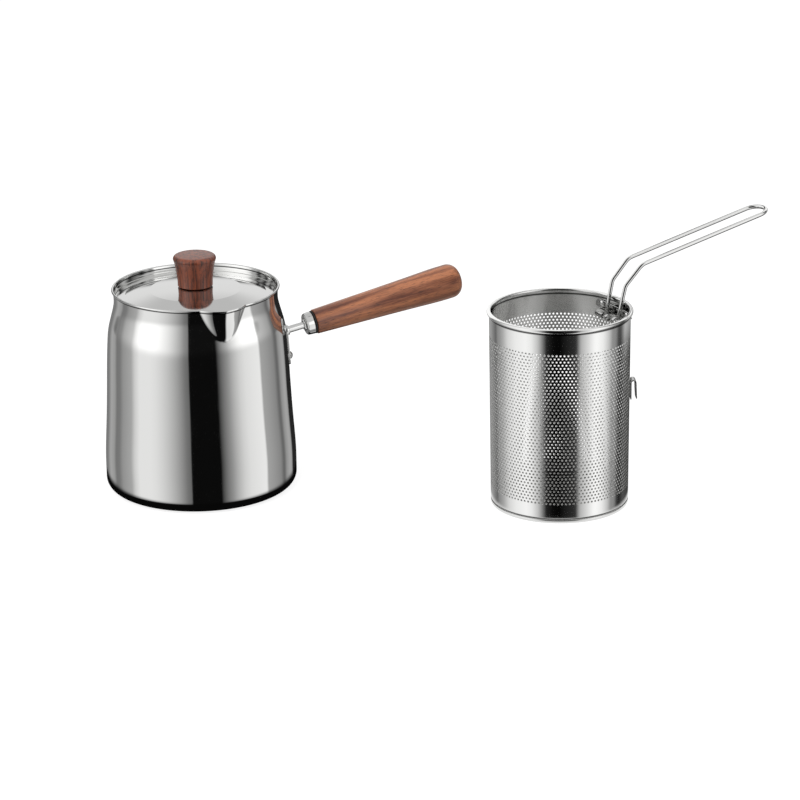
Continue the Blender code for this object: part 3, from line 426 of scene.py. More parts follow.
def pot_side(sizes, height):
    """Outer radius of the pot's wall: a smooth curve through the belly, the shoulder, the waist and the neck."""
    neck, shoulder = sizes.height - NECK_DROP, sizes.height - SHOULDER_DROP
    knots = [(BELLY_HEIGHT, sizes.belly)]
    for down, out in BELLY_SHARES[::-1]:
        knots.append((shoulder + (BELLY_HEIGHT - shoulder) * down,
                      sizes.shoulder + (sizes.belly - sizes.shoulder) * out))
    knots.append((shoulder, sizes.shoulder))
    for down, out in SHOULDER_SHARES[::-1]:
        knots.append((neck + (shoulder - neck) * down, sizes.neck + (sizes.shoulder - sizes.neck) * out))
    at, out = np.array(knots + [(neck, sizes.neck), (sizes.height - LIP_DROP, sizes.neck)]).T
    return np.minimum(smooth_curve(np.clip(height, at[0], at[-1]), at, out, start=0.0), sizes.belly)


def pot_heights(sizes):
    """Heights at which the pot's wall is sampled, closer together at the waist."""
    waist = sizes.height - 0.040
    return np.concatenate([np.linspace(sizes.foot, BELLY_HEIGHT, 6), np.linspace(BELLY_HEIGHT, waist, 26)[1:],
                           np.linspace(waist, sizes.height - LIP_DROP, 46)[1:]])


def spout_push(sizes, points):
    """Points moved outward into the spout. Its half width shrinks with the share of the depth that is left, raised
    to 0.48, and its reach with that share to 0.62. Across, the push falls from the creased nose to the edges as a
    straight part plus the power 3.5 of the distance, like a pointed arch, and the step to the wall is softened."""
    depth = np.clip(sizes.height - points[..., 2], 0.0, None)
    radius = np.hypot(points[..., 0], points[..., 1])
    turn = np.arctan2(points[..., 1], points[..., 0]) - sizes.spout_turn
    aside = np.abs((turn + np.pi) % TAU - np.pi) * radius
    left = np.clip(1.0 - depth / sizes.spout_depth, 0.0, 1.0)
    out = np.minimum(aside / (sizes.spout_half * np.maximum(left, 1e-6) ** 0.48), 3.0)
    push = sizes.spout_reach * left ** 0.62 * (1.0 - 0.62 * out - 0.38 * out ** 3.5)
    soft = 0.0004 * np.minimum(1.0, left * 8.0)
    push = 0.5 * (push + np.hypot(push, soft)) * np.clip((1.5 - out) / 0.3, 0.0, 1.0)
    grow = 1.0 + push / np.maximum(radius, 0.001)
    return points * np.stack([grow, grow, np.ones_like(grow)], -1)


def basket_side(sizes, height):
    """Outer radius of the basket's slightly tapered wall."""
    return sizes.foot + (sizes.top - sizes.foot) * np.asarray(height) / sizes.height


def basket_centre():
    """Centre of the basket on the floor, from its bottom's node."""
    low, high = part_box("basket_bottom")
    return (low.x + high.x) / 2.0, (low.y + high.y) / 2.0


def at_basket(patch):
    """A patch moved from the upright axis to the basket."""
    return (patch[0] + (*basket_centre(), 0.0), *patch[1:])


def handle_place(pot, handle):
    """Matrix of the handle's axis: it starts on the pot's wall and points outward and up."""
    height = pot.height - handle.drop
    start = Matrix.Translation((float(pot_side(pot, height)), 0.0, height))
    return Matrix.Rotation(handle.turn, 4, "Z") @ start @ Matrix.Rotation(np.pi / 2.0 - handle.rise, 4, "Y")


def basket_frame(height, turn, reach):
    """Matrix at the basket's wall: x outward, y up and z along the wall, at a reach from the basket's axis."""
    spot = Matrix.Translation((*basket_centre(), height)) @ Matrix.Rotation(turn, 4, "Z")
    return spot @ Matrix.Translation((reach, 0.0, 0.0)) @ Matrix.Rotation(np.pi / 2.0, 4, "X")


# Finishes

def set_inputs(node, inputs):
    """A node's inputs set to numbers and colours, or linked to other nodes' outputs."""
    for key, value in dict(inputs).items():
        if isinstance(value, bpy.types.NodeSocket):
            node.id_data.links.new(value, node.inputs[key])
        else:
            node.inputs[key].default_value = value


def add_node(tree, kind, inputs=(), output=0, **settings):
    """One output of a new shader node with its inputs and settings."""
    node = tree.nodes.new("ShaderNode" + kind)
    for key, value in settings.items():
        setattr(node, key, value)
    set_inputs(node, inputs)
    return node.outputs[output]


def math_node(tree, operation, *values):
    """A number worked out from numbers."""
    return add_node(tree, "Math", enumerate(values), operation=operation)


def range_node(tree, value, low, high, start=0.0, end=1.0, **settings):
    """A value taken from the range of start to end to the range of low to high, and held at both ends."""
    limits = {"Value": value, "From Min": start, "From Max": end, "To Min": low, "To Max": high}
    return add_node(tree, "MapRange", limits, **settings)


def noise_node(tree, place, scale, detail, distortion=0.0):
    """Noise at a scale, or at one scale for each axis."""
    if not np.isscalar(scale):
        place, scale = add_node(tree, "Mapping", {"Vector": place, "Scale": scale}), 1.0
    return add_node(tree, "TexNoise", {"Vector": place, "Scale": scale, "Detail": detail, "Distortion": distortion})


def bump_node(tree, height, strength, distance, normal=None):
    """The surface's normal, or the one given, tilted by a height."""
    inputs = {"Height": height, "Strength": strength, "Distance": distance, "Normal": normal}
    return add_node(tree, "Bump", {key: value for key, value in inputs.items() if value is not None})


def new_material(name, constants=()):
    """A material with constant values set on its shader, its tree and its shader."""
    finish = bpy.data.materials.new(name)
    finish.use_nodes = True
    shader = finish.node_tree.nodes["Principled BSDF"]
    set_inputs(shader, constants)
    return finish, finish.node_tree, shader


def new_finish(name, base, metallic, roughness):
    """A piece's material, its tree, its shader and its object coordinates."""
    constants = {"Base Color": (*base, 1.0), "Metallic": metallic, "Roughness": roughness}
    finish, tree, shader = new_material(name, constants)
    return finish, tree, shader, add_node(tree, "TexCoord", output="Object")


def inner_painted_shade_and_light(tree, shader, place, height, centre, radius, growth):
    """Painted shade and painted light of a tube whose radius grows with height: the inner side is nearer to the
    centre than that radius. Its colour is painted a little darker than the outer side, as shade inside the tube, and
    low down it is painted pale, as light that comes in through the holes, and is matt there."""
    aside = add_node(tree, "VectorMath", {0: place, 1: (*centre, 0.0)}, operation="SUBTRACT")
    flat = add_node(tree, "VectorMath", {0: aside, 1: (1.0, 1.0, 0.0)}, operation="MULTIPLY")
    reach = add_node(tree, "VectorMath", {0: flat}, "Value", operation="LENGTH")
    outer = math_node(tree, "GREATER_THAN", reach, math_node(tree, "MULTIPLY_ADD", height, growth, radius))
    above = range_node(tree, height, 0.0, 1.0, *MATT_PAINTED_LIGHT_TO_METAL, interpolation_type="SMOOTHSTEP")
    bright = math_node(tree, "MAXIMUM", outer, above)
    set_inputs(shader, {"Metallic": bright})
    # Painted shade: the inner side's colour is 0.9 as bright; painted light: where it is matt low down it is 1.18 as
    # bright.
    return math_node(tree, "MULTIPLY", range_node(tree, outer, 0.90, 1.0), range_node(tree, bright, 1.18, 1.0))


def steel(name, base, roughness, spread, wave, lines, line_depth, painted_shade_lines=(), tube=None):
    """Stainless steel. Roughness varies in clouds by a spread; the bump is a slow wave of the sheet plus fine
    polishing lines, which are noise stretched in the plane across the direction of the line scale. A painted shade
    line is a height and a half width: the colour is painted darker towards that height, as painted shade where shade
    falls in a fold of the sheet. A tube is a centre, a radius at the floor and its growth with height; its inner side
    gets painted shade and painted light."""
    finish, tree, shader, place = new_finish(name, base, 1.0, roughness)
    if painted_shade_lines:
        height = add_node(tree, "SeparateXYZ", {"Vector": place}, "Z")
        shade = inner_painted_shade_and_light(tree, shader, place, height, *tube) if tube else 1.0
        # Painted shade: each line paints the colour darker, down to a tenth, near its height.
        for level, half in painted_shade_lines:
            off = math_node(tree, "ABSOLUTE", math_node(tree, "SUBTRACT", height, level))
            shade = math_node(tree, "MULTIPLY", range_node(tree, off, 0.10, 1.0, 0.4 * half, half), shade)
        set_inputs(shader, {"Base Color": add_node(tree, "VectorMath", {0: base, "Scale": shade}, operation="SCALE")})
    clouds = noise_node(tree, place, CLOUDS, 3.0)
    swell = bump_node(tree, noise_node(tree, place, SWELL, 1.0), 1.0, wave)
    set_inputs(shader, {"Roughness": range_node(tree, clouds, roughness - spread, roughness + spread, 0.3, 0.7),
                        "Normal": bump_node(tree, noise_node(tree, place, lines, 4.0), 1.0, line_depth, swell)})
    return finish


def wood(name, light, dark, grain_place, fine):
    """Turned and oiled hardwood. Coordinates are turned so that z runs with the grain; broad bands, fine fibres and
    short pores are noise stretched along z, and the bands colour the wood from dark to light. How fine the grain is
    multiplies the scales across it."""
    finish, tree, shader, place = new_finish(name, light, 0.0, 0.42)
    location, rotation, _ = grain_place.decompose()
    inputs = {"Vector": place, "Location": location, "Rotation": rotation.to_euler()}
    grain = add_node(tree, "Mapping", inputs, vector_type="TEXTURE")
    broad = noise_node(tree, grain, (170.0 * fine, 170.0 * fine, 9.0), 3.0, 0.6)
    fibre = noise_node(tree, grain, (1500.0 * fine, 1500.0 * fine, 45.0), 3.0)
    pores = range_node(tree, noise_node(tree, grain, (2600.0, 2600.0, 190.0), 1.0), 0.35, 1.0, 0.30, 0.42)
    tone = add_node(tree, "ValToRGB", {"Fac": math_node(tree, "MULTIPLY_ADD", fibre, 0.35, broad)})
    for end, position, shade in zip(tone.node.color_ramp.elements, (0.50, 0.80), (dark, light)):
        end.position, end.color = position, (*shade, 1.0)
    dents = bump_node(tree, pores, 0.6, 0.00012)
    set_inputs(shader, {"Base Color": add_node(tree, "VectorMath", {0: tone, "Scale": pores}, operation="SCALE"),
                        "Roughness": range_node(tree, fibre, 0.36, 0.52), "Coat Weight": 0.7,
                        "Coat Roughness": 0.30, "Normal": bump_node(tree, fibre, 0.5, 0.00008, dents)})
    return finish


def rubber(name, base):
    """Soft black rubber with a fine grained skin."""
    finish, tree, shader, place = new_finish(name, base, 0.0, 0.62)
    set_inputs(shader, {"Normal": bump_node(tree, noise_node(tree, place, 5200.0, 2.0), 0.4, 0.00004)})
    return finish


def pot_steel(finishes, name, painted_shade_lines=()):
    """Mirror polished steel with polishing lines round the upright axis."""
    return steel(name, finishes.steel, finishes.polish, 0.02, 0.00005, (25.0, 25.0, 2600.0), 0.0000012, painted_shade_lines)


def sheet_steel(finishes, name):
    """Bright rolled sheet, a little softer than the polish."""
    return steel(name, finishes.steel, finishes.sheet, 0.04, 0.00004, SHEET_LINES, 0.0000025)


def brushed_steel(finishes, name, painted_shade_lines, tube):
    """Sheet brushed round the basket: its gloss is drawn out up and down, across the brushing."""
    lines = (30.0, 30.0, 5200.0)
    finish = steel(name, finishes.steel, finishes.brushed, 0.02, 0.00001, lines, 0.0000010, painted_shade_lines, tube)
    upright = add_node(finish.node_tree, "CombineXYZ", {"X": 0.002, "Y": 0.003, "Z": 1.0})
    set_inputs(finish.node_tree.nodes["Principled BSDF"], {"Anisotropic": 0.6, "Tangent": upright})
    return finish


def satin_steel(finishes, name):
    """Plain machined steel with fine turning lines."""
    return steel(name, finishes.steel, 0.24, 0.05, 0.00001, TURNING, 0.0000030)


# Operators

def settings_of(context, *names):
    """Groups of settings by their names."""
    return [getattr(context.scene, "fry_pot_" + name) for name in names]


class PieceOperator:
    """What all operators of pieces share"""
    bl_options = {"REGISTER", "UNDO"}


class FRYPOT_OT_pot_body(PieceOperator, bpy.types.Operator):
    """Build the pot's body with its rolled lip and pouring spout"""
    bl_idname = "fry_pot.pot_body"
    bl_label = "Pot body"

    def execute(self, context):
        sizes, finishes = settings_of(context, "pot", "finish")
        if sizes.spout_depth >= sizes.height or sizes.neck <= sizes.wall:
            raise ValueError("the pot is too small for its spout or its wall")
        heights = pot_heights(sizes)
        side = np.stack([pot_side(sizes, heights), heights], -1)
        corner = (sizes.belly - sizes.foot, sizes.foot)
        foot = arc(corner, sizes.foot, -90, 0, 14)[:-1]
        inner_foot = arc(corner, sizes.foot - sizes.wall, 0, -90, 14)[1:]
        bend = 0.0008
        lip = arc((sizes.lip - bend, sizes.height - bend), bend, -110, 180, 20)
        flat = np.linspace(0.0, 1.0, 7)[:-1, None] * (foot[0] * (1.0, 0.0))
        floor = np.linspace(1.0, 0.0, 7)[1:, None] * (inner_foot[-1] * (1.0, 0.0)) + (0.0, sizes.wall)
        inside = side[::-1] - (sizes.wall, 0.0)
        ease_under_lip = 0.0001
        inside[0, 0] += ease_under_lip
        outline = join(flat, foot, side, lip, inside, inner_foot, floor)
        # Painted shade: a dark line painted under the rolled lip, where shade falls in the fold.
        shade_under_lip = (sizes.height - 0.0021, 0.0006)
        half = np.radians(SPOUT_SECTOR) / 2.0
        near, far = np.linspace(-half, half, 81), np.linspace(half, TAU - half, 160)[1:-1]
        grid, *wraps = turned(outline, turns=sizes.spout_turn + np.concatenate([near, far]))
        finish = pot_steel(finishes, "pot polish", (shade_under_lip,))
        solid("pot_body_shell", (spout_push(sizes, grid), *wraps), finish, "pot", "pot_steel", "pot_body", sharp=50.0)
        return {"FINISHED"}


class FRYPOT_OT_saddle(PieceOperator, bpy.types.Operator):
    """Build the saddle with its socket and the two rivets"""
    bl_idname = "fry_pot.saddle"
    bl_label = "Saddle and rivets"

    def execute(self, context):
        pot, handle, finishes = settings_of(context, "pot", "handle", "finish")
        height = pot.height - handle.drop
        outline = (handle.plate_half, height - SADDLE_BELOW, height + SADDLE_ABOVE, SADDLE_CORNER)
        edge, radius, spread, rise, bend, sunk = 0.0003, 0.0035, 0.0012, 0.0018, 0.0004, 0.0004
        plate = curved_plate(outline, lambda z: pot_side(pot, z) + GAP, handle.plate, edge, handle.turn)
        lift, bore = GAP + handle.plate, handle.rod + GAP
        base, top, floor = lift - sunk, lift + SOCKET, lift + SOCKET - SOCKET_DEPTH
        part = np.linspace(0.0, 1.0, 9)
        flare = np.stack([radius + spread * (1.0 - part) ** 2.2, base + rise * part], -1)
        rounded = arc((radius - bend, top - bend), bend, 0, 90, 4)
        socket = join((0.0, base), flare, rounded, (bore, top), (bore, floor), (0.0, floor))
        skins = [closed_skin(plate), closed_skin(turned(socket, 48, place=handle_place(pot, handle)))]
        piece("saddle_plate", skins, pot_steel(finishes, "saddle polish"), "pot", "saddle_steel", "pot_bracket")
        height -= SADDLE_RIVETS
        wall, shank, dome = float(pot_side(pot, height)), 0.0015, 0.0017
        for name, aside in (("front", -11.0), ("back", 11.0)):
            patch = rivet(shank, handle.rivet_head, dome, wall - pot.wall, wall + lift,
                          handle.turn + np.radians(aside), height)
            solid("saddle_rivet_" + name, patch, pot_steel(finishes, "rivet polish " + name), "pot", "rivet_steel",
                  "pot_rivet_" + name)
        return {"FINISHED"}


class FRYPOT_OT_handle(PieceOperator, bpy.types.Operator):
    """Build the rod, nut, ferrule, seal and wooden grip of the pot's handle"""
    bl_idname = "fry_pot.handle"
    bl_label = "Pot handle"

    def execute(self, context):
        pot, handle, finishes = settings_of(context, "pot", "handle", "finish")
        bore, end = handle.rod + GAP, handle.ferrule + handle.ferrule_length
        seal = end + GAP
        grip = seal + SEAL + GAP
        rod_start, rod_end = GAP + handle.plate + SOCKET - SOCKET_DEPTH, grip + ROD_DEPTH
        rod = join((0.0, rod_start), (handle.rod, rod_start), (handle.rod, rod_end), (0.0, rod_end))
        low, high = handle.ferrule - NUT_HALF, handle.ferrule + NUT_HALF
        mouth, floor = NUT_RADIUS + GAP, high + GAP
        front, side, widest = 0.0068, 0.0075, 0.0078
        ferrule = rounded_line([(mouth, handle.ferrule), (front, handle.ferrule), (side, handle.ferrule + 0.0009),
                                (widest, end - 0.0006), (side, end), (bore, end), (bore, floor), (mouth, floor)],
                               (0.0006, 0.0006, 0.0004, 0.0002, 0, 0), 5)
        outer, bend = 0.0080, 0.00025
        ring = rounded_line([(bore, seal), (outer, seal), (outer, seal + SEAL), (bore, seal + SEAL)],
                            (bend, bend), 4)
        place = handle_place(pot, handle)
        grip_wood = wood("grip wood finish", finishes.grip_light, finishes.grip_dark, place, 1.0)
        for name, patch, finish, slot, node, sharp in (
                ("rod_bar", turned(rod, 48, place=place), satin_steel(finishes, "rod steel finish"), "rod_steel",
                 "rod", 35),
                ("hexagon", self.nut(bore, low, high, place), satin_steel(finishes, "nut steel finish"),
                 "fastener_steel", "nut", 25),
                ("collar", turned(ferrule, 72, True, place), pot_steel(finishes, "ferrule polish"), "ferrule_steel",
                 "ferrule", 35),
                ("ring", turned(ring, 72, True, place), rubber("seal finish", finishes.rubber), "seal_rubber", "seal",
                 35),
                ("wood", turned(self.grip(handle, grip, rod_end), place=place), grip_wood, "grip_wood", "grip", 35)):
            solid("handle_" + name, patch, finish, "pot", slot, "handle_" + node, sharp=sharp)
        return {"FINISHED"}

    def nut(self, bore, low, high, place):
        """Patch of a hexagon: a round outline whose radius is held under that of the flat side, which is the
        side's middle distance over the cosine of the turn from that middle."""
        ease, face = 0.0003, 0.0037
        outline = join((bore, low), (face, low), (NUT_RADIUS, low + ease), (NUT_RADIUS, high - ease), (face, high),
                       (bore, high))
        grid, *wraps = turned(outline, 60, True)
        turn = np.arctan2(grid[..., 1], grid[..., 0]) % (TAU / 6.0) - TAU / 12.0
        radius = np.hypot(grid[..., 0], grid[..., 1])
        flat = np.cos(TAU / 12.0) * NUT_RADIUS / np.cos(turn)
        grid[..., :2] *= (np.minimum(radius, flat) / radius)[..., None]
        return (at_place(grid, place), *wraps)

    def grip(self, handle, start, rod_end):
        """Outline of the grip: its bore, a smooth curve that swells towards the end, a rounding and a cap."""
        end, full, bend = start + handle.grip_length, 1.0 - GRIP_ROUND / handle.grip_length, 0.0006
        along, out = np.array(GRIP_SHARES).T
        reach = np.linspace(bend / handle.grip_length, full, 44)
        swell = smooth_curve(reach, np.append(along, full), np.append(out, 1.0), end=0.0)
        radius = handle.grip_start + (handle.grip_end - handle.grip_start) * np.minimum(swell, 1.0)
        body = np.stack([radius, start + handle.grip_length * reach], -1)
        rounded = arc((handle.grip_end - GRIP_ROUND, end - GRIP_ROUND), GRIP_ROUND, 0, 88, 16)[1:]
        cap = np.stack([np.linspace(rounded[-1, 0], 0.0, 5)[1:], np.linspace(rounded[-1, 1], end, 5)[1:]], -1)
        bore = GRIP_INSERT + GAP
        return join((0.0, rod_end + GAP), (bore, rod_end + GAP), (bore, start), (handle.grip_start - bend, start),
                    arc((body[0, 0] - bend, start + bend), bend, -70, -10, 4), body, rounded, cap)


class FRYPOT_OT_lid(PieceOperator, bpy.types.Operator):
    """Build the lid, its knob, and the screw and washer under it"""
    bl_idname = "fry_pot.lid"
    bl_label = "Lid and knob"

    def execute(self, context):
        lid, finishes = settings_of(context, "lid", "finish")
        seat = Matrix.Translation((0.0, 0.0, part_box("lid_disc")[0].z))
        solid("lid_shell", turned(self.disc(lid), 160, place=seat), pot_steel(finishes, "lid polish"), "lid",
              "lid_steel", "lid_disc", sharp=50.0)
        grain = Matrix.Translation((0.007, 0.01, 0.0))
        knob_wood = wood("knob wood finish", finishes.knob_light, finishes.knob_dark, grain, 3.2)
        solid("lid_wood", turned(self.knob(lid), place=seat), knob_wood, "lid", "knob_wood", "lid_knob")
        low, high = (corner.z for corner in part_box("knob_washer"))
        bore, outer, bend = SCREW + GAP, 0.0062, 0.0002
        ring = rounded_line([(bore, low), (outer, low), (outer, high), (bore, high)], (bend, bend), 3)
        solid("lid_washer", turned(ring, 48, True), satin_steel(finishes, "washer steel finish"), "lid",
              "fastener_steel", "knob_washer")
        solid("lid_screw", self.screw(), satin_steel(finishes, "screw steel finish"), "lid", "fastener_steel",
              "knob_screw")
        return {"FINISHED"}

    def disc(self, lid):
        """Outline of the lid: the dome falls with the square of the radius, then a sloping ring, a flat ring and
        the edge, and the same under it."""
        crown, inner, thick = FLANGE_RISE + lid.cone, lid.radius - lid.flange, lid.thickness
        out = np.linspace(0.0, 1.0, 15)[:-1]
        dome = np.stack([lid.crown * out, crown + lid.dome * (1.0 - out ** 2)], -1)
        top = rounded_line([dome[-1], (lid.crown, crown), (inner, FLANGE_RISE), (lid.radius, FLANGE_RISE),
                            (lid.radius, 0.0)], (0.0022, 0.0026, 0.0008))
        edge, under_dome = lid.radius - thick, dome[::-1] - (0.0, thick)
        under = rounded_line([(edge, 0.0), (edge, FLANGE_RISE - thick), (inner + 0.0002, FLANGE_RISE - thick),
                              (lid.crown, crown - thick), under_dome[0]], (0.0001, 0.0030, 0.0036))
        return join(dome, top[1:], under, under_dome[1:])

    def knob(self, lid):
        """Outline of the knob: its bore, a smooth curve from foot to top, a rounding, and a cap that falls with the
        square of the radius."""
        foot = FLANGE_RISE + lid.cone + lid.dome + GAP
        top, ease = foot + lid.knob_height, 0.0005
        up, wide = np.array(KNOB_SHARES).T
        reach = np.linspace(ease / lid.knob_height, up[-1], 26)
        swell = np.minimum(smooth_curve(reach, up, wide, start=0.0, end=0.0), 1.0)
        side = np.stack([lid.knob_foot + (lid.knob_top - lid.knob_foot) * swell, foot + lid.knob_height * reach], -1)
        side[:, 0] = np.clip(side[:, 0], 0.001, lid.knob_top)
        bend, crown = 0.0025, 0.0004
        rounded = arc((lid.knob_top - bend, top - crown - bend), bend, 0, 84, 10)[1:]
        out = np.linspace(1.0, 0.0, 10)[1:]
        cap = np.stack([rounded[-1, 0] * out, top - (top - rounded[-1, 1]) * out ** 2], -1)
        bore, floor = KNOB_INSERT + GAP, foot + KNOB_INSERT_DEPTH + 2.0 * GAP
        return join((0.0, floor), (bore, floor), (bore, foot), (lid.knob_foot - ease, foot), side, rounded, cap)

    def screw(self):
        """Patch of a screw with a domed head that has a cross shaped recess: the head sinks where the smaller of
        the two distances to the arms' middle lines is less than the arms' half width."""
        low, high = (corner.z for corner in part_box("knob_screw"))
        turn, dome = np.linspace(0.0, 1.0, 15) * np.pi / 2.0, 0.0016
        head = np.stack([SCREW_HEAD * np.sin(turn), low + dome * (1.0 - np.cos(turn))], -1)
        top, arm, reach, depth = low + 0.0022, 0.0007, 0.0027, 0.0010
        grid, *wraps = turned(join(head, (SCREW_HEAD, top), (SCREW, top), (SCREW, high), (0.0, high)), 72)
        across = np.minimum(np.abs(grid[..., 0]), np.abs(grid[..., 1]))
        radius = np.hypot(grid[..., 0], grid[..., 1])
        sunk = np.clip((arm - across) / 0.0002, 0.0, 1.0) * np.clip((reach - radius) / 0.0003, 0.0, 1.0)
        grid[..., 2] += depth * sunk * (grid[..., 2] < top - 0.0003)
        return (grid, *wraps)


class FRYPOT_OT_basket_wall(PieceOperator, bpy.types.Operator):
    """Build the perforated wall with its rolled rim and drawn in foot"""
    bl_idname = "fry_pot.basket_wall"
    bl_label = "Basket wall"

    def execute(self, context):
        sizes, finishes = settings_of(context, "basket", "finish")
        if sizes.rows % 2 or TAU * sizes.foot / sizes.columns < 2.4 * sizes.hole:
            raise ValueError("the basket needs an even number of hole rows and room between its holes")
        step = (sizes.last_row - sizes.first_row) / (sizes.rows - 1)
        levels = sizes.first_row + step * (np.arange(sizes.rows + 1) - 0.5)
        halfway = sizes.rows // 2
        # Painted shade: dark lines painted under the rolled rim and over the drawn in foot, where shade falls in the
        # folds.
        shade_under_rim, shade_over_foot = (sizes.height - 0.0036, 0.0009), (0.0030, 0.0007)
        # The tube's inner side gets painted shade, and painted light low down.
        tube = (basket_centre(), sizes.foot - sizes.sheet / 2.0, (sizes.top - sizes.foot) / sizes.height)
        finish = brushed_steel(finishes, "basket sheet finish", (shade_under_rim, shade_over_foot), tube)
        for name, part, parity, band, cut in (
                ("lower", levels[:halfway + 1], 0, self.foot_outline(sizes, levels[0]), -1),
                ("upper", levels[halfway:], halfway, self.rim_outline(sizes, levels[-1]), 0)):
            edge = self.edge(sizes, part[cut])[::1 if cut else -1]
            bands = [grid_skin(*at_basket(turned(outline, turns=self.turns(sizes)))) for outline in (band, edge)]
            skin = welded([self.cells(sizes, part, parity), *bands], 1e8)
            piece("basket_wall_" + name, [skin], finish, "basket", "basket_steel", "basket_wall", 45.0)
        return {"FINISHED"}

    def turns(self, sizes):
        """Azimuths of the cells' sides and middles."""
        return np.linspace(0.0, TAU, 2 * sizes.columns, endpoint=False)

    def edge(self, sizes, level):
        """Outer and inner point of the wall at a height."""
        radius = float(basket_side(sizes, level))
        return np.array([(radius, level), (radius - sizes.sheet, level)])

    def foot_outline(self, sizes, level):
        """Inner side down from the holes, round the drawn in foot, and up the outer side."""
        (outer, _), (inner, _) = self.edge(sizes, level)
        end, bottom, top, shift = 0.0010, 0.0025, 0.0034, 0.0003
        low, wide = float(basket_side(sizes, 0.0)) - THIN - GAP, float(basket_side(sizes, top))
        inside = rounded_line([(inner, level), (wide - sizes.sheet, top + shift),
                               (low - sizes.sheet, bottom + shift), (low - sizes.sheet, end)], (0.0010, 0.0006), 5)
        outside = rounded_line([(low, end), (low, bottom), (wide, top), (outer, level)], (0.0006, 0.0010), 5)
        return join(inside, outside)

    def rim_outline(self, sizes, level):
        """Outer side up from the holes, into the rim rolled outward, and down the inner side."""
        (outer, _), (inner, _) = self.edge(sizes, level)
        height, top = sizes.height - sizes.bead, sizes.height - 2.0 * sizes.bead
        centre, wall = (float(basket_side(sizes, height)) + 0.0001, height), float(basket_side(sizes, top))
        bead = arc(centre, sizes.bead, -78, 192, 30)
        hollow = arc(centre, sizes.bead - THIN, 212, -78, 20)
        under = top - 0.0008
        outside = rounded_line([(outer, level), (wall, under), hollow[0]], (0.0006,), 4)
        return join(outside, hollow[1:], bead, (wall - sizes.sheet, under), (inner, level))

    def cells(self, sizes, levels, parity):
        """Rows of brick shaped cells with a round hole each. A cell has eight points round it, its corners and the
        middles of its sides, and eight points round its hole; quads join the two rings on both faces of the sheet
        and the two holes through it. Rows are staggered by half a cell, so corners meet middles."""
        columns, rows, turns = sizes.columns, len(levels) - 1, self.turns(sizes)
        row, column = np.meshgrid(np.arange(rows), np.arange(columns), indexing="ij")
        left = 2 * column + (row + parity) % 2
        turn = turns[(left[..., None] + (2, 2, 1, 0, 0, 0, 1, 2)) % (2 * columns)]
        halves = np.empty(2 * rows + 1)
        halves[::2], halves[1::2] = levels, (levels[:-1] + levels[1:]) / 2.0
        height = halves[2 * row[..., None] + (1, 2, 2, 2, 1, 0, 0, 0)]
        middle_height = halves[2 * row + 1][..., None]
        middle_turn = turns[(left + 1) % (2 * columns)][..., None]
        spin = np.arange(8) * TAU / 8.0
        radius = basket_side(sizes, middle_height) - sizes.sheet / 2.0
        hole_turn = middle_turn + sizes.hole * np.cos(spin) / radius
        hole_height = middle_height + sizes.hole * np.sin(spin)
        turn = np.stack([turn, hole_turn, hole_turn, turn], 2).reshape(-1, 4, 8)
        height = np.stack([height, hole_height, hole_height, height], 2).reshape(-1, 4, 8)
        radius = basket_side(sizes, height) - np.array([0.0, 0.0, sizes.sheet, sizes.sheet])[:, None]
        points = np.stack([radius * np.cos(turn), radius * np.sin(turn), height], -1) + (*basket_centre(), 0.0)
        quads = grid_skin(points[0], False, True)[1][:, ::-1]
        return points.reshape(-1, 3), (quads + 32 * np.arange(len(points))[:, None, None]).reshape(-1, 4)


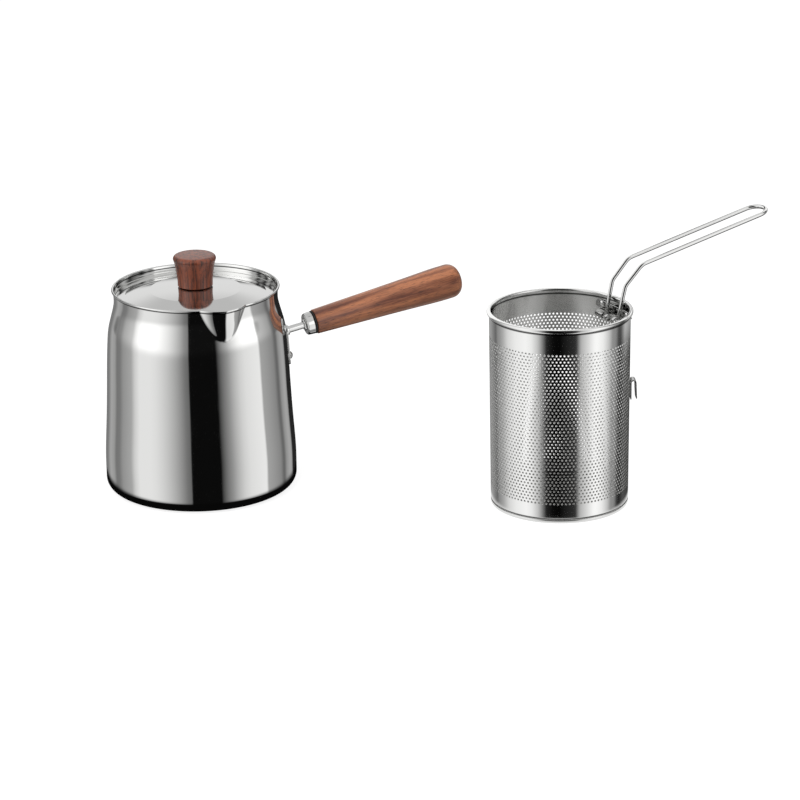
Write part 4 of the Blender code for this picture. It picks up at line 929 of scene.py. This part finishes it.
class FRYPOT_OT_basket_fittings(PieceOperator, bpy.types.Operator):
    """Build the basket's bottom, bracket, rivets and hook"""
    bl_idname = "fry_pot.basket_fittings"
    bl_label = "Basket fittings"

    def execute(self, context):
        sizes, wire, finishes = settings_of(context, "basket", "wire", "finish")
        outer, inner, rim = sizes.foot, sizes.foot - THIN, 0.0022
        cup = rounded_line([(0.0, 0.0), (outer, 0.0), (outer, rim), (inner, rim), (inner, THIN), (0.0, THIN)],
                           (0.0006, 0.0001, 0.0001, 0.0001), 5)
        solid("basket_cup", at_basket(turned(cup, 180)), sheet_steel(finishes, "basket bottom finish"), "basket",
              "basket_bottom_steel", "basket_bottom")
        dull = [0.6 * part for part in finishes.steel]
        finish = steel("bracket finish", dull, 0.11, 0.03, 0.00003, SHEET_LINES, 0.000002)
        hinge = sizes.height - HINGE_DROP
        inside = float(basket_side(sizes, hinge)) - sizes.sheet - GAP
        for name, skins, node in (("knuckles", self.bracket(sizes, wire, hinge, inside), "bracket"),
                                  ("strap", self.hook(sizes), "hook")):
            piece("basket_" + name, skins, finish, "basket", "bracket_steel", "basket_" + node)
        height, shank, head, dome = sizes.height - 0.0072, 0.0011, 0.0021, 0.0011
        for name, aside in (("right", -20.0), ("left", 20.0)):
            patch = rivet(shank, head, dome, inside - THIN, float(basket_side(sizes, height)),
                          sizes.hinge_turn + np.radians(aside), height)
            solid("basket_fixing_" + name, at_basket(patch), pot_steel(finishes, "basket rivet polish " + name),
                  "basket", "rivet_steel", "basket_rivet_" + name)
        return {"FINISHED"}

    def bracket(self, sizes, wire, hinge, inside):
        """Curved plate inside the wall, and four barrels rolled from its lower edge: each is a strip that leaves
        the plate along a tangent and follows a circle round the wire."""
        half, low, high, corner, edge = 0.0202, hinge + 0.0038, sizes.height - 0.0048, 0.0020, 0.00015
        plate = curved_plate((half, low, high, corner), lambda z: np.full_like(z, inside - THIN), THIN, edge,
                             sizes.hinge_turn)
        clearance = 0.0002
        centre_line = wire.radius + clearance + THIN / 2.0
        reach, rise = inside - THIN / 2.0 - HINGE_REACH, 0.0046
        touch = np.degrees(np.arctan2(rise, reach) + np.arccos(centre_line / np.hypot(reach, rise)))
        route = join((reach, rise), arc((0.0, 0.0), centre_line, touch, touch + 325.0, 30))
        place = basket_frame(hinge, sizes.hinge_turn, HINGE_REACH)
        barrels, edge = ((0.0032, 0.0056), (0.0095, 0.0175), (-0.0056, -0.0032), (-0.0175, -0.0095)), 0.00012
        return [closed_skin(at_basket(plate)), *(bent_strip(route, THIN, *ends, edge, place) for ends in barrels)]

    def hook(self, sizes):
        """Strap that runs up the wall, over a half circle and down again, a little flared."""
        top, inner, outer, sheet, half, edge = sizes.height - 0.0500, 0.0016, 0.0025, 0.0008, 0.0040, 0.00015
        bend = (inner + outer) / 2.0
        middle = bend - sheet / 2.0
        x, y = centre = (float(basket_side(sizes, top)) + GAP + bend, top - bend)
        route = join((x - middle, y - 0.0115), (x - middle, y - 0.0060), arc(centre, middle, 180, 0, 16),
                     (x + middle + 0.0002, y - 0.0060), (x + middle + 0.0005, y - 0.0130 + bend))
        return [bent_strip(route, sheet, -half, half, edge, basket_frame(0.0, sizes.hook_turn, 0.0))]


class FRYPOT_OT_wire_handle(PieceOperator, bpy.types.Operator):
    """Build the basket's wire handle"""
    bl_idname = "fry_pot.wire_handle"
    bl_label = "Wire handle"

    def execute(self, context):
        basket, sizes, finishes = settings_of(context, "basket", "wire", "finish")
        place = basket_frame(basket.height - HINGE_DROP, basket.hinge_turn, HINGE_REACH)
        bright = [0.92 * part for part in finishes.steel]
        finish = steel("wire finish", bright, 0.07, 0.02, 0.00001, (700.0, 700.0, 700.0), 0.0000012)
        solid("basket_wire_loop", with_caps(at_place(self.tube(sizes), place)), finish, "basket_wire", "wire_steel",
              "basket_handle")
        return {"FINISHED"}

    def tube(self, sizes):
        """Rings of points round the wire's route, which is one half and its mirror image. Each ring lies in the
        plane of a normal, the route's flat direction turned by a quarter and set square to the tangent, and of the
        tangent's cross product with it. A smaller ring at each end eases the edge."""
        tip, knee, elbow = np.array([sizes.tip_reach, sizes.tip_rise]), (0.0057, 0.0244), (0.0183, 0.0376)
        run = tip - elbow
        run /= np.linalg.norm(run)
        centre = tip - run * sizes.loop
        corners = [(0.0, 0.0, sizes.foot_reach), (0.0, 0.0, sizes.foot_spread), (*knee, 0.0081),
                   (*elbow, sizes.loop), (*centre, sizes.loop)]
        side = rounded_line(corners, (0.0016, 0.0060, 0.0100), 12)
        turn = np.linspace(0.0, np.pi / 2.0, 15)[1:, None]
        loop = np.concatenate([centre + run * (sizes.loop * np.sin(turn)), sizes.loop * np.cos(turn)], 1)
        half = np.concatenate([side, loop])
        flat = np.gradient(half, axis=0)[:, :2]
        size = np.linalg.norm(flat, axis=1, keepdims=True)
        moving = size[:, 0] > 1e-5
        last_moving = np.maximum.accumulate(np.where(moving, np.arange(len(half)), 0))
        last_moving[last_moving == 0] = np.argmax(moving)
        ahead = (flat / np.maximum(size, 1e-12))[last_moving]
        ahead[-3:] = run
        normal = np.stack([-ahead[:, 1], ahead[:, 0], np.zeros(len(half))], -1)
        path = np.concatenate([half, half[-2::-1] * (1.0, 1.0, -1.0)])
        normal = np.concatenate([normal, normal[-2::-1]])
        tangent = np.gradient(path, axis=0)
        tangent /= np.linalg.norm(tangent, axis=1, keepdims=True)
        normal -= (normal * tangent).sum(1, keepdims=True) * tangent
        normal /= np.linalg.norm(normal, axis=1, keepdims=True)
        beside = np.cross(tangent, normal)
        spin = np.linspace(0.0, TAU, 20, endpoint=False)[None, :, None]
        ring = sizes.radius * (np.cos(spin) * normal[:, None] + np.sin(spin) * beside[:, None])
        grid, ease = path[:, None] + ring, 0.00025
        ends = path[::len(path) - 1, None] + ring[::len(path) - 1] * (1.0 - ease / sizes.radius)
        grid[0] += tangent[0] * ease
        grid[-1] -= tangent[-1] * ease
        return np.concatenate([ends[:1], grid, ends[1:]])


class FRYPOT_OT_hidden_parts(PieceOperator, bpy.types.Operator):
    """Give the inserts and the rim's wire, which stay as packed, their finishes"""
    bl_idname = "fry_pot.hidden_parts"
    bl_label = "Inserts and rim wire"

    def execute(self, context):
        finishes, = settings_of(context, "finish")
        brass = steel("insert brass finish", finishes.brass, 0.32, 0.05, 0.00001, TURNING, 0.000003)
        wire = satin_steel(finishes, "rim wire finish")
        for name, finish in (("grip_insert", brass), ("knob_insert", brass), ("basket_rim_wire", wire)):
            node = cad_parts[name]
            if not node.material_slots:
                node.data.materials.append(finish)
            for slot in node.material_slots:
                slot.material = finish
        return {"FINISHED"}


# Studio

# Brightness by direction round the pot and round the basket, 0 towards the camera and growing towards +X
POT_PANELS = (
    (-180, 0.20), (-150, 0.22), (-138, 0.44), (-127, 0.38), (-121, 0.21), (-113, 0.23), (-106, 0.35), (-90, 0.46),
    (-84, 0.74), (-76, 0.94), (-60, 0.94), (-52, 0.89), (-44, 0.79), (-36.5, 0.67), (-29, 0.53), (-21.5, 0.38),
    (-14, 0.22), (-9.4, 0.16), (-8.0, 0.004), (26.8, 0.004), (28.6, 0.06), (33.4, 0.18), (41, 0.34), (49, 0.57),
    (57, 0.77), (65, 0.89), (74, 0.94), (88, 1.0), (91, 0.44), (103, 0.37), (115, 0.29), (121, 0.16), (124, 0.17),
    (129, 0.34), (138, 0.45), (145, 0.40), (149, 0.02), (180, 0.02))
BASKET_PANELS = (
    (-180, 0.30), (-155, 0.38), (-139, 0.24), (-130, 0.15), (-124, 0.30), (-117, 0.36), (-108, 0.50), (-96, 0.82),
    (-80, 1.02), (-60, 1.12), (-50, 1.02), (-39, 0.66), (-30, 0.20), (-25, 0.020), (-14, 0.004), (-3, 0.002),
    (6, 0.012), (21, 0.030), (24.5, 0.05), (27, 0.20), (32, 0.55), (43, 0.82), (55, 1.14), (60, 1.18), (72, 1.04),
    (85, 0.64), (92, 0.33), (100, 0.30), (108, 0.08), (115, 0.10), (118, 0.19), (129, 0.57), (150, 0.40),
    (180, 0.32))


def mirrored_turn(spread, turn, wall, camera_turn):
    """Direction in which a round wall mirrors a point to the camera, from the point's distance and turn about the
    wall's axis. The wall's normal halves the angle between that direction and the camera, so the sine of the
    direction less the turn is the wall's radius over the distance times the sine of half the angle between the
    direction and the camera. Putting the result in again comes to rest at the direction."""
    ratio = np.clip(wall / np.maximum(spread, 1e-6), 0.0, 1.0)
    towards = turn
    for _ in range(40):
        towards = turn + np.arcsin(ratio * np.sin((towards - camera_turn) / 2.0))
    return np.clip(towards, -np.pi, np.pi)


def smooth_step(values, low, high):
    """Nought below low and one above high, with a smooth rise between."""
    part = np.clip((values - low) / (high - low), 0.0, 1.0)
    return part * part * (3.0 - 2.0 * part)


def smooth_band(values, low, high, fall, end):
    """One between high and fall, and nought below low and above end."""
    return smooth_step(values, low, high) * (1.0 - smooth_step(values, fall, end))


def pot_light(turn, rise, gap):
    """Brightness round the pot by turn, rise and distance from the wall. Round the horizon it is the table of
    panels, brighter from there upward, and it is even towards the zenith, where the shoulder looks. Both sides have
    streaks above the horizon, the horizon is dark at the back, and so is a narrow gap round the foot."""
    low = np.interp(turn, *np.array(POT_PANELS).T) * (1.0 + 0.50 * smooth_step(rise, -12.0, 6.0))
    away = np.abs(turn)
    back = smooth_step(away, 140.0, 158.0)
    above = smooth_step(rise, 28.0 - 27.0 * back, 44.0 - 32.0 * back)
    high = (0.95 - 0.11 * back) * (1.0 - 0.30 * smooth_step(rise, 20.0, 38.0))
    level = low * (1.0 - above) + high * above
    streaks = 0.55 + 0.35 * np.sin(0.35 * turn)
    level *= 1.0 - streaks * smooth_band(away, 84.0, 98.0, 157.0, 166.0) * smooth_band(rise, 5.0, 9.0, 26.0, 34.0)
    level *= 1.0 - 0.7 * smooth_step(away, 118.0, 132.0) * (1.0 - smooth_step(np.abs(rise), 5.0, 9.0))
    near = smooth_step(gap, 0.012, 0.022)
    return level * near + 0.003 * (1.0 - near)


def basket_light(turn, rise, gap):
    """Brightness round the basket by turn, rise and distance from the wall: the table's upright panels from the
    floor to high above, or at the back to near the horizon, and bright even light over them, a little darker in
    front. It is bright close to the foot. A dark screen stands where the wire handle looks, and the floor under the
    wire handle is dark."""
    low = np.interp(turn, *np.array(BASKET_PANELS).T)
    back = smooth_step(np.abs(turn), 110.0, 140.0)
    above = smooth_step(rise, 66.0 - 62.0 * back, 82.0 - 66.0 * back)
    level = low * (1.0 - above) + 1.15 * above
    level *= 1.0 - 0.30 * smooth_step(rise, 60.0, 70.0) * (1.0 - back)
    behind = smooth_band(turn, 148.0, 156.0, 177.0, 180.0) * smooth_step(rise, 16.0, 24.0)
    level *= 1.0 - 0.95 * behind * smooth_band(gap, 0.085, 0.115, 0.30, 0.38)
    under = smooth_step(turn, 104.0, 116.0) * (1.0 - smooth_step(gap, 0.28, 0.40)) * smooth_step(-rise, 0.0, 6.0)
    level *= 1.0 - 0.85 * under
    near = smooth_step(gap, 0.0066, 0.0080)
    return level * near + 0.90 * (1.0 - near)


def looking(direction):
    """Matrix that turns a camera or a lamp to a direction."""
    return direction.to_track_quat("-Z", "Y").to_matrix().to_4x4()


def seen_rays(tree):
    """One for rays of the camera, of reflections and through glass, and nought for others."""
    rays = add_node(tree, "LightPath").node.outputs
    both = math_node(tree, "ADD", rays["Is Camera Ray"], rays["Is Glossy Ray"])
    three = math_node(tree, "ADD", both, rays["Is Transmission Ray"])
    three.node.use_clamp = True
    return three


class FRYPOT_OT_studio(bpy.types.Operator):
    """Build the floor, the screens that the metal mirrors, the lamps, the world and the camera"""
    bl_idname = "fry_pot.studio"
    bl_label = "Studio"

    def execute(self, context):
        pot, basket, settings = settings_of(context, "pot", "basket", "studio")
        self.camera(context, settings)
        self.floor(settings)
        eye = context.scene.camera.matrix_world.translation
        self.tent("studio_tent_pot", (0.0, 0.0), pot.belly, 1.0, pot_light, eye)
        self.tent("studio_tent_basket", basket_centre(), basket.foot, -1.0, basket_light, eye)
        self.lamps(context, settings)
        self.world(context, settings)
        context.scene.view_settings.view_transform = "Standard"
        return {"FINISHED"}

    def camera(self, context, settings):
        """Camera at the photograph's angle."""
        data = bpy.data.cameras.new("studio camera")
        data.lens, data.sensor_width = settings.lens, 36.0
        data.clip_start, data.clip_end = 0.05, 60.0
        item = bpy.data.objects.new("studio_camera", data)
        context.scene.collection.objects.link(item)
        back = Matrix.Rotation(-settings.elevation, 3, "X") @ Vector((0.0, -settings.distance, 0.0))
        place = Matrix.Translation(Vector(CAMERA_AIM) + back) @ looking(-back)
        item.matrix_world = place @ Matrix.Rotation(settings.roll, 4, "Z")
        context.scene.camera = item

    def floor(self, settings):
        """Wide pale floor that looks white to the camera and keeps the object's soft shadow."""
        reach = np.linspace(-1.0, 1.0, 3) * FLOOR_REACH
        grid = np.stack([*np.meshgrid(reach, reach, indexing="ij"), np.full((3, 3), -0.0001)], -1)
        finish, tree, shader = new_material("studio floor", {
            "Base Color": (settings.floor, settings.floor, settings.floor, 1.0), "Roughness": 0.9,
            "Specular IOR Level": 0.0, "Emission Color": (1.0, 1.0, 1.0, 1.0)})
        glow = math_node(tree, "MULTIPLY", seen_rays(tree), FLOOR_WHITE - settings.floor)
        set_inputs(shader, {"Emission Strength": glow})
        finish.cycles.emission_sampling = "NONE"
        item = piece("studio_floor", [grid_skin(grid, False, False)], finish)
        item.visible_glossy = False

    def tent(self, name, centre, wall, side, light, eye):
        """Tent of light round one of the two standing pieces, which only reflections see. It is a ball cut off by
        the floor and by an upright plane between the two, so a ray in each direction ends at the nearest of the
        three. Each point glows as the light for the direction in which the wall mirrors it to the camera."""
        azimuth = np.linspace(-180.0, 180.0, 540, endpoint=False)
        height = np.concatenate([np.linspace(-89.0, -52.0, 12), np.linspace(-50.0, 40.0, 96),
                                 np.linspace(43.0, 89.0, 16)])
        turn, up = (np.radians(part) for part in np.meshgrid(azimuth, height, indexing="ij"))
        ray = np.stack([np.sin(turn) * np.cos(up), -np.cos(turn) * np.cos(up), np.sin(up)], -1)
        start = np.array([*centre, TENT_HEIGHT])
        facing = np.radians(PLANE_TURN)
        normal = np.array([np.cos(facing), np.sin(facing), 0.0])
        to_floor = -(start[2] + 0.0004) / np.minimum(ray[..., 2], -1e-6)
        across = ray @ normal
        room = PLANE_DISTANCE - 0.0005 * side - start @ normal
        to_plane = room / np.where(across * side > 1e-6, across, 1e-6 * side)
        reach = np.minimum(np.minimum(TENT_RADIUS, to_floor), to_plane)
        grid = start + ray * reach[..., None]
        aside = grid[..., :2] - start[:2]
        spread = np.hypot(aside[..., 0], aside[..., 1])
        camera_turn = np.arctan2(eye.x - start[0], start[1] - eye.y)
        towards = mirrored_turn(spread, np.arctan2(aside[..., 0], -aside[..., 1]), wall, camera_turn)
        rise = np.degrees(np.arctan2(grid[..., 2] - RISE_HEIGHT, np.maximum(spread - wall, 0.001)))
        level = light(np.degrees(towards), rise, spread - wall)
        finish, tree, shader = new_material(name.replace("_", " "))
        tree.nodes.remove(shader)
        glow = add_node(tree, "Attribute", output="Fac", attribute_name="glow")
        set_inputs(tree.nodes["Material Output"], {"Surface": add_node(tree, "Emission", {"Strength": glow})})
        finish.cycles.emission_sampling = "NONE"
        item = piece(name, [grid_skin(grid, True, False)], finish)
        glows = item.data.attributes.new("glow", "FLOAT", "POINT")
        glows.data.foreach_set("value", level.astype(np.float32).ravel())
        for kind in ("camera", "diffuse", "transmission", "volume_scatter", "shadow"):
            setattr(item, "visible_" + kind, False)

    def lamps(self, context, settings):
        """Two soft area lamps, which reflections don't see."""
        for name, spot, power in (("key", (-0.7, -0.9, 1.6), settings.key),
                                  ("fill", (1.5, -0.7, 1.2), settings.key * 0.5)):
            data = bpy.data.lights.new("studio " + name, "AREA")
            data.energy, data.size, data.shape = power, LAMP_SIZE, "DISK"
            item = bpy.data.objects.new("studio_" + name, data)
            context.scene.collection.objects.link(item)
            item.matrix_world = Matrix.Translation(spot) @ looking(Vector(LAMP_AIM) - Vector(spot))
            item.visible_glossy = False

    def world(self, context, settings):
        """Even light from all round, which is white to the rays that see it."""
        world = bpy.data.worlds.new("studio world")
        context.scene.world = world
        world.use_nodes = True
        strength = range_node(world.node_tree, seen_rays(world.node_tree), settings.ambient, 1.0)
        set_inputs(world.node_tree.nodes["Background"], {"Color": (1.0, 1.0, 1.0, 1.0), "Strength": strength})


GROUPS = (("fry_pot_pot", PotSizes), ("fry_pot_handle", HandleSizes), ("fry_pot_lid", LidSizes),
          ("fry_pot_basket", BasketSizes), ("fry_pot_wire", WireSizes), ("fry_pot_finish", FinishSettings),
          ("fry_pot_studio", StudioSettings))
OPERATORS = (FRYPOT_OT_pot_body, FRYPOT_OT_saddle, FRYPOT_OT_handle, FRYPOT_OT_lid, FRYPOT_OT_basket_wall,
             FRYPOT_OT_basket_fittings, FRYPOT_OT_wire_handle, FRYPOT_OT_hidden_parts, FRYPOT_OT_studio)


class FRYPOT_PT_sidebar(bpy.types.Panel):
    """Lists the operators and the settings"""
    bl_idname = "FRYPOT_PT_sidebar"
    bl_label = "Deep fry pot"
    bl_space_type = "VIEW_3D"
    bl_region_type = "UI"
    bl_category = "Fry Pot"

    def draw(self, context):
        for operator in OPERATORS:
            self.layout.operator(operator.bl_idname)
        for name, group in GROUPS:
            box = self.layout.box()
            box.label(text=group.__doc__)
            for key in group.__annotations__:
                box.prop(getattr(context.scene, name), key)


def register():
    """Register the settings, operators and panel."""
    for name, group in GROUPS:
        bpy.utils.register_class(group)
        setattr(bpy.types.Scene, name, PointerProperty(type=group))
    for item in OPERATORS + (FRYPOT_PT_sidebar,):
        bpy.utils.register_class(item)


def unregister():
    """Remove what register added."""
    for item in (FRYPOT_PT_sidebar,) + OPERATORS[::-1]:
        bpy.utils.unregister_class(item)
    for name, group in GROUPS[::-1]:
        delattr(bpy.types.Scene, name)
        bpy.utils.unregister_class(group)


def main():
    """Build everything."""
    register()
    for operator in OPERATORS:
        group, name = operator.bl_idname.split(".")
        getattr(getattr(bpy.ops, group), name)()


if __name__ == "__main__":
    main()
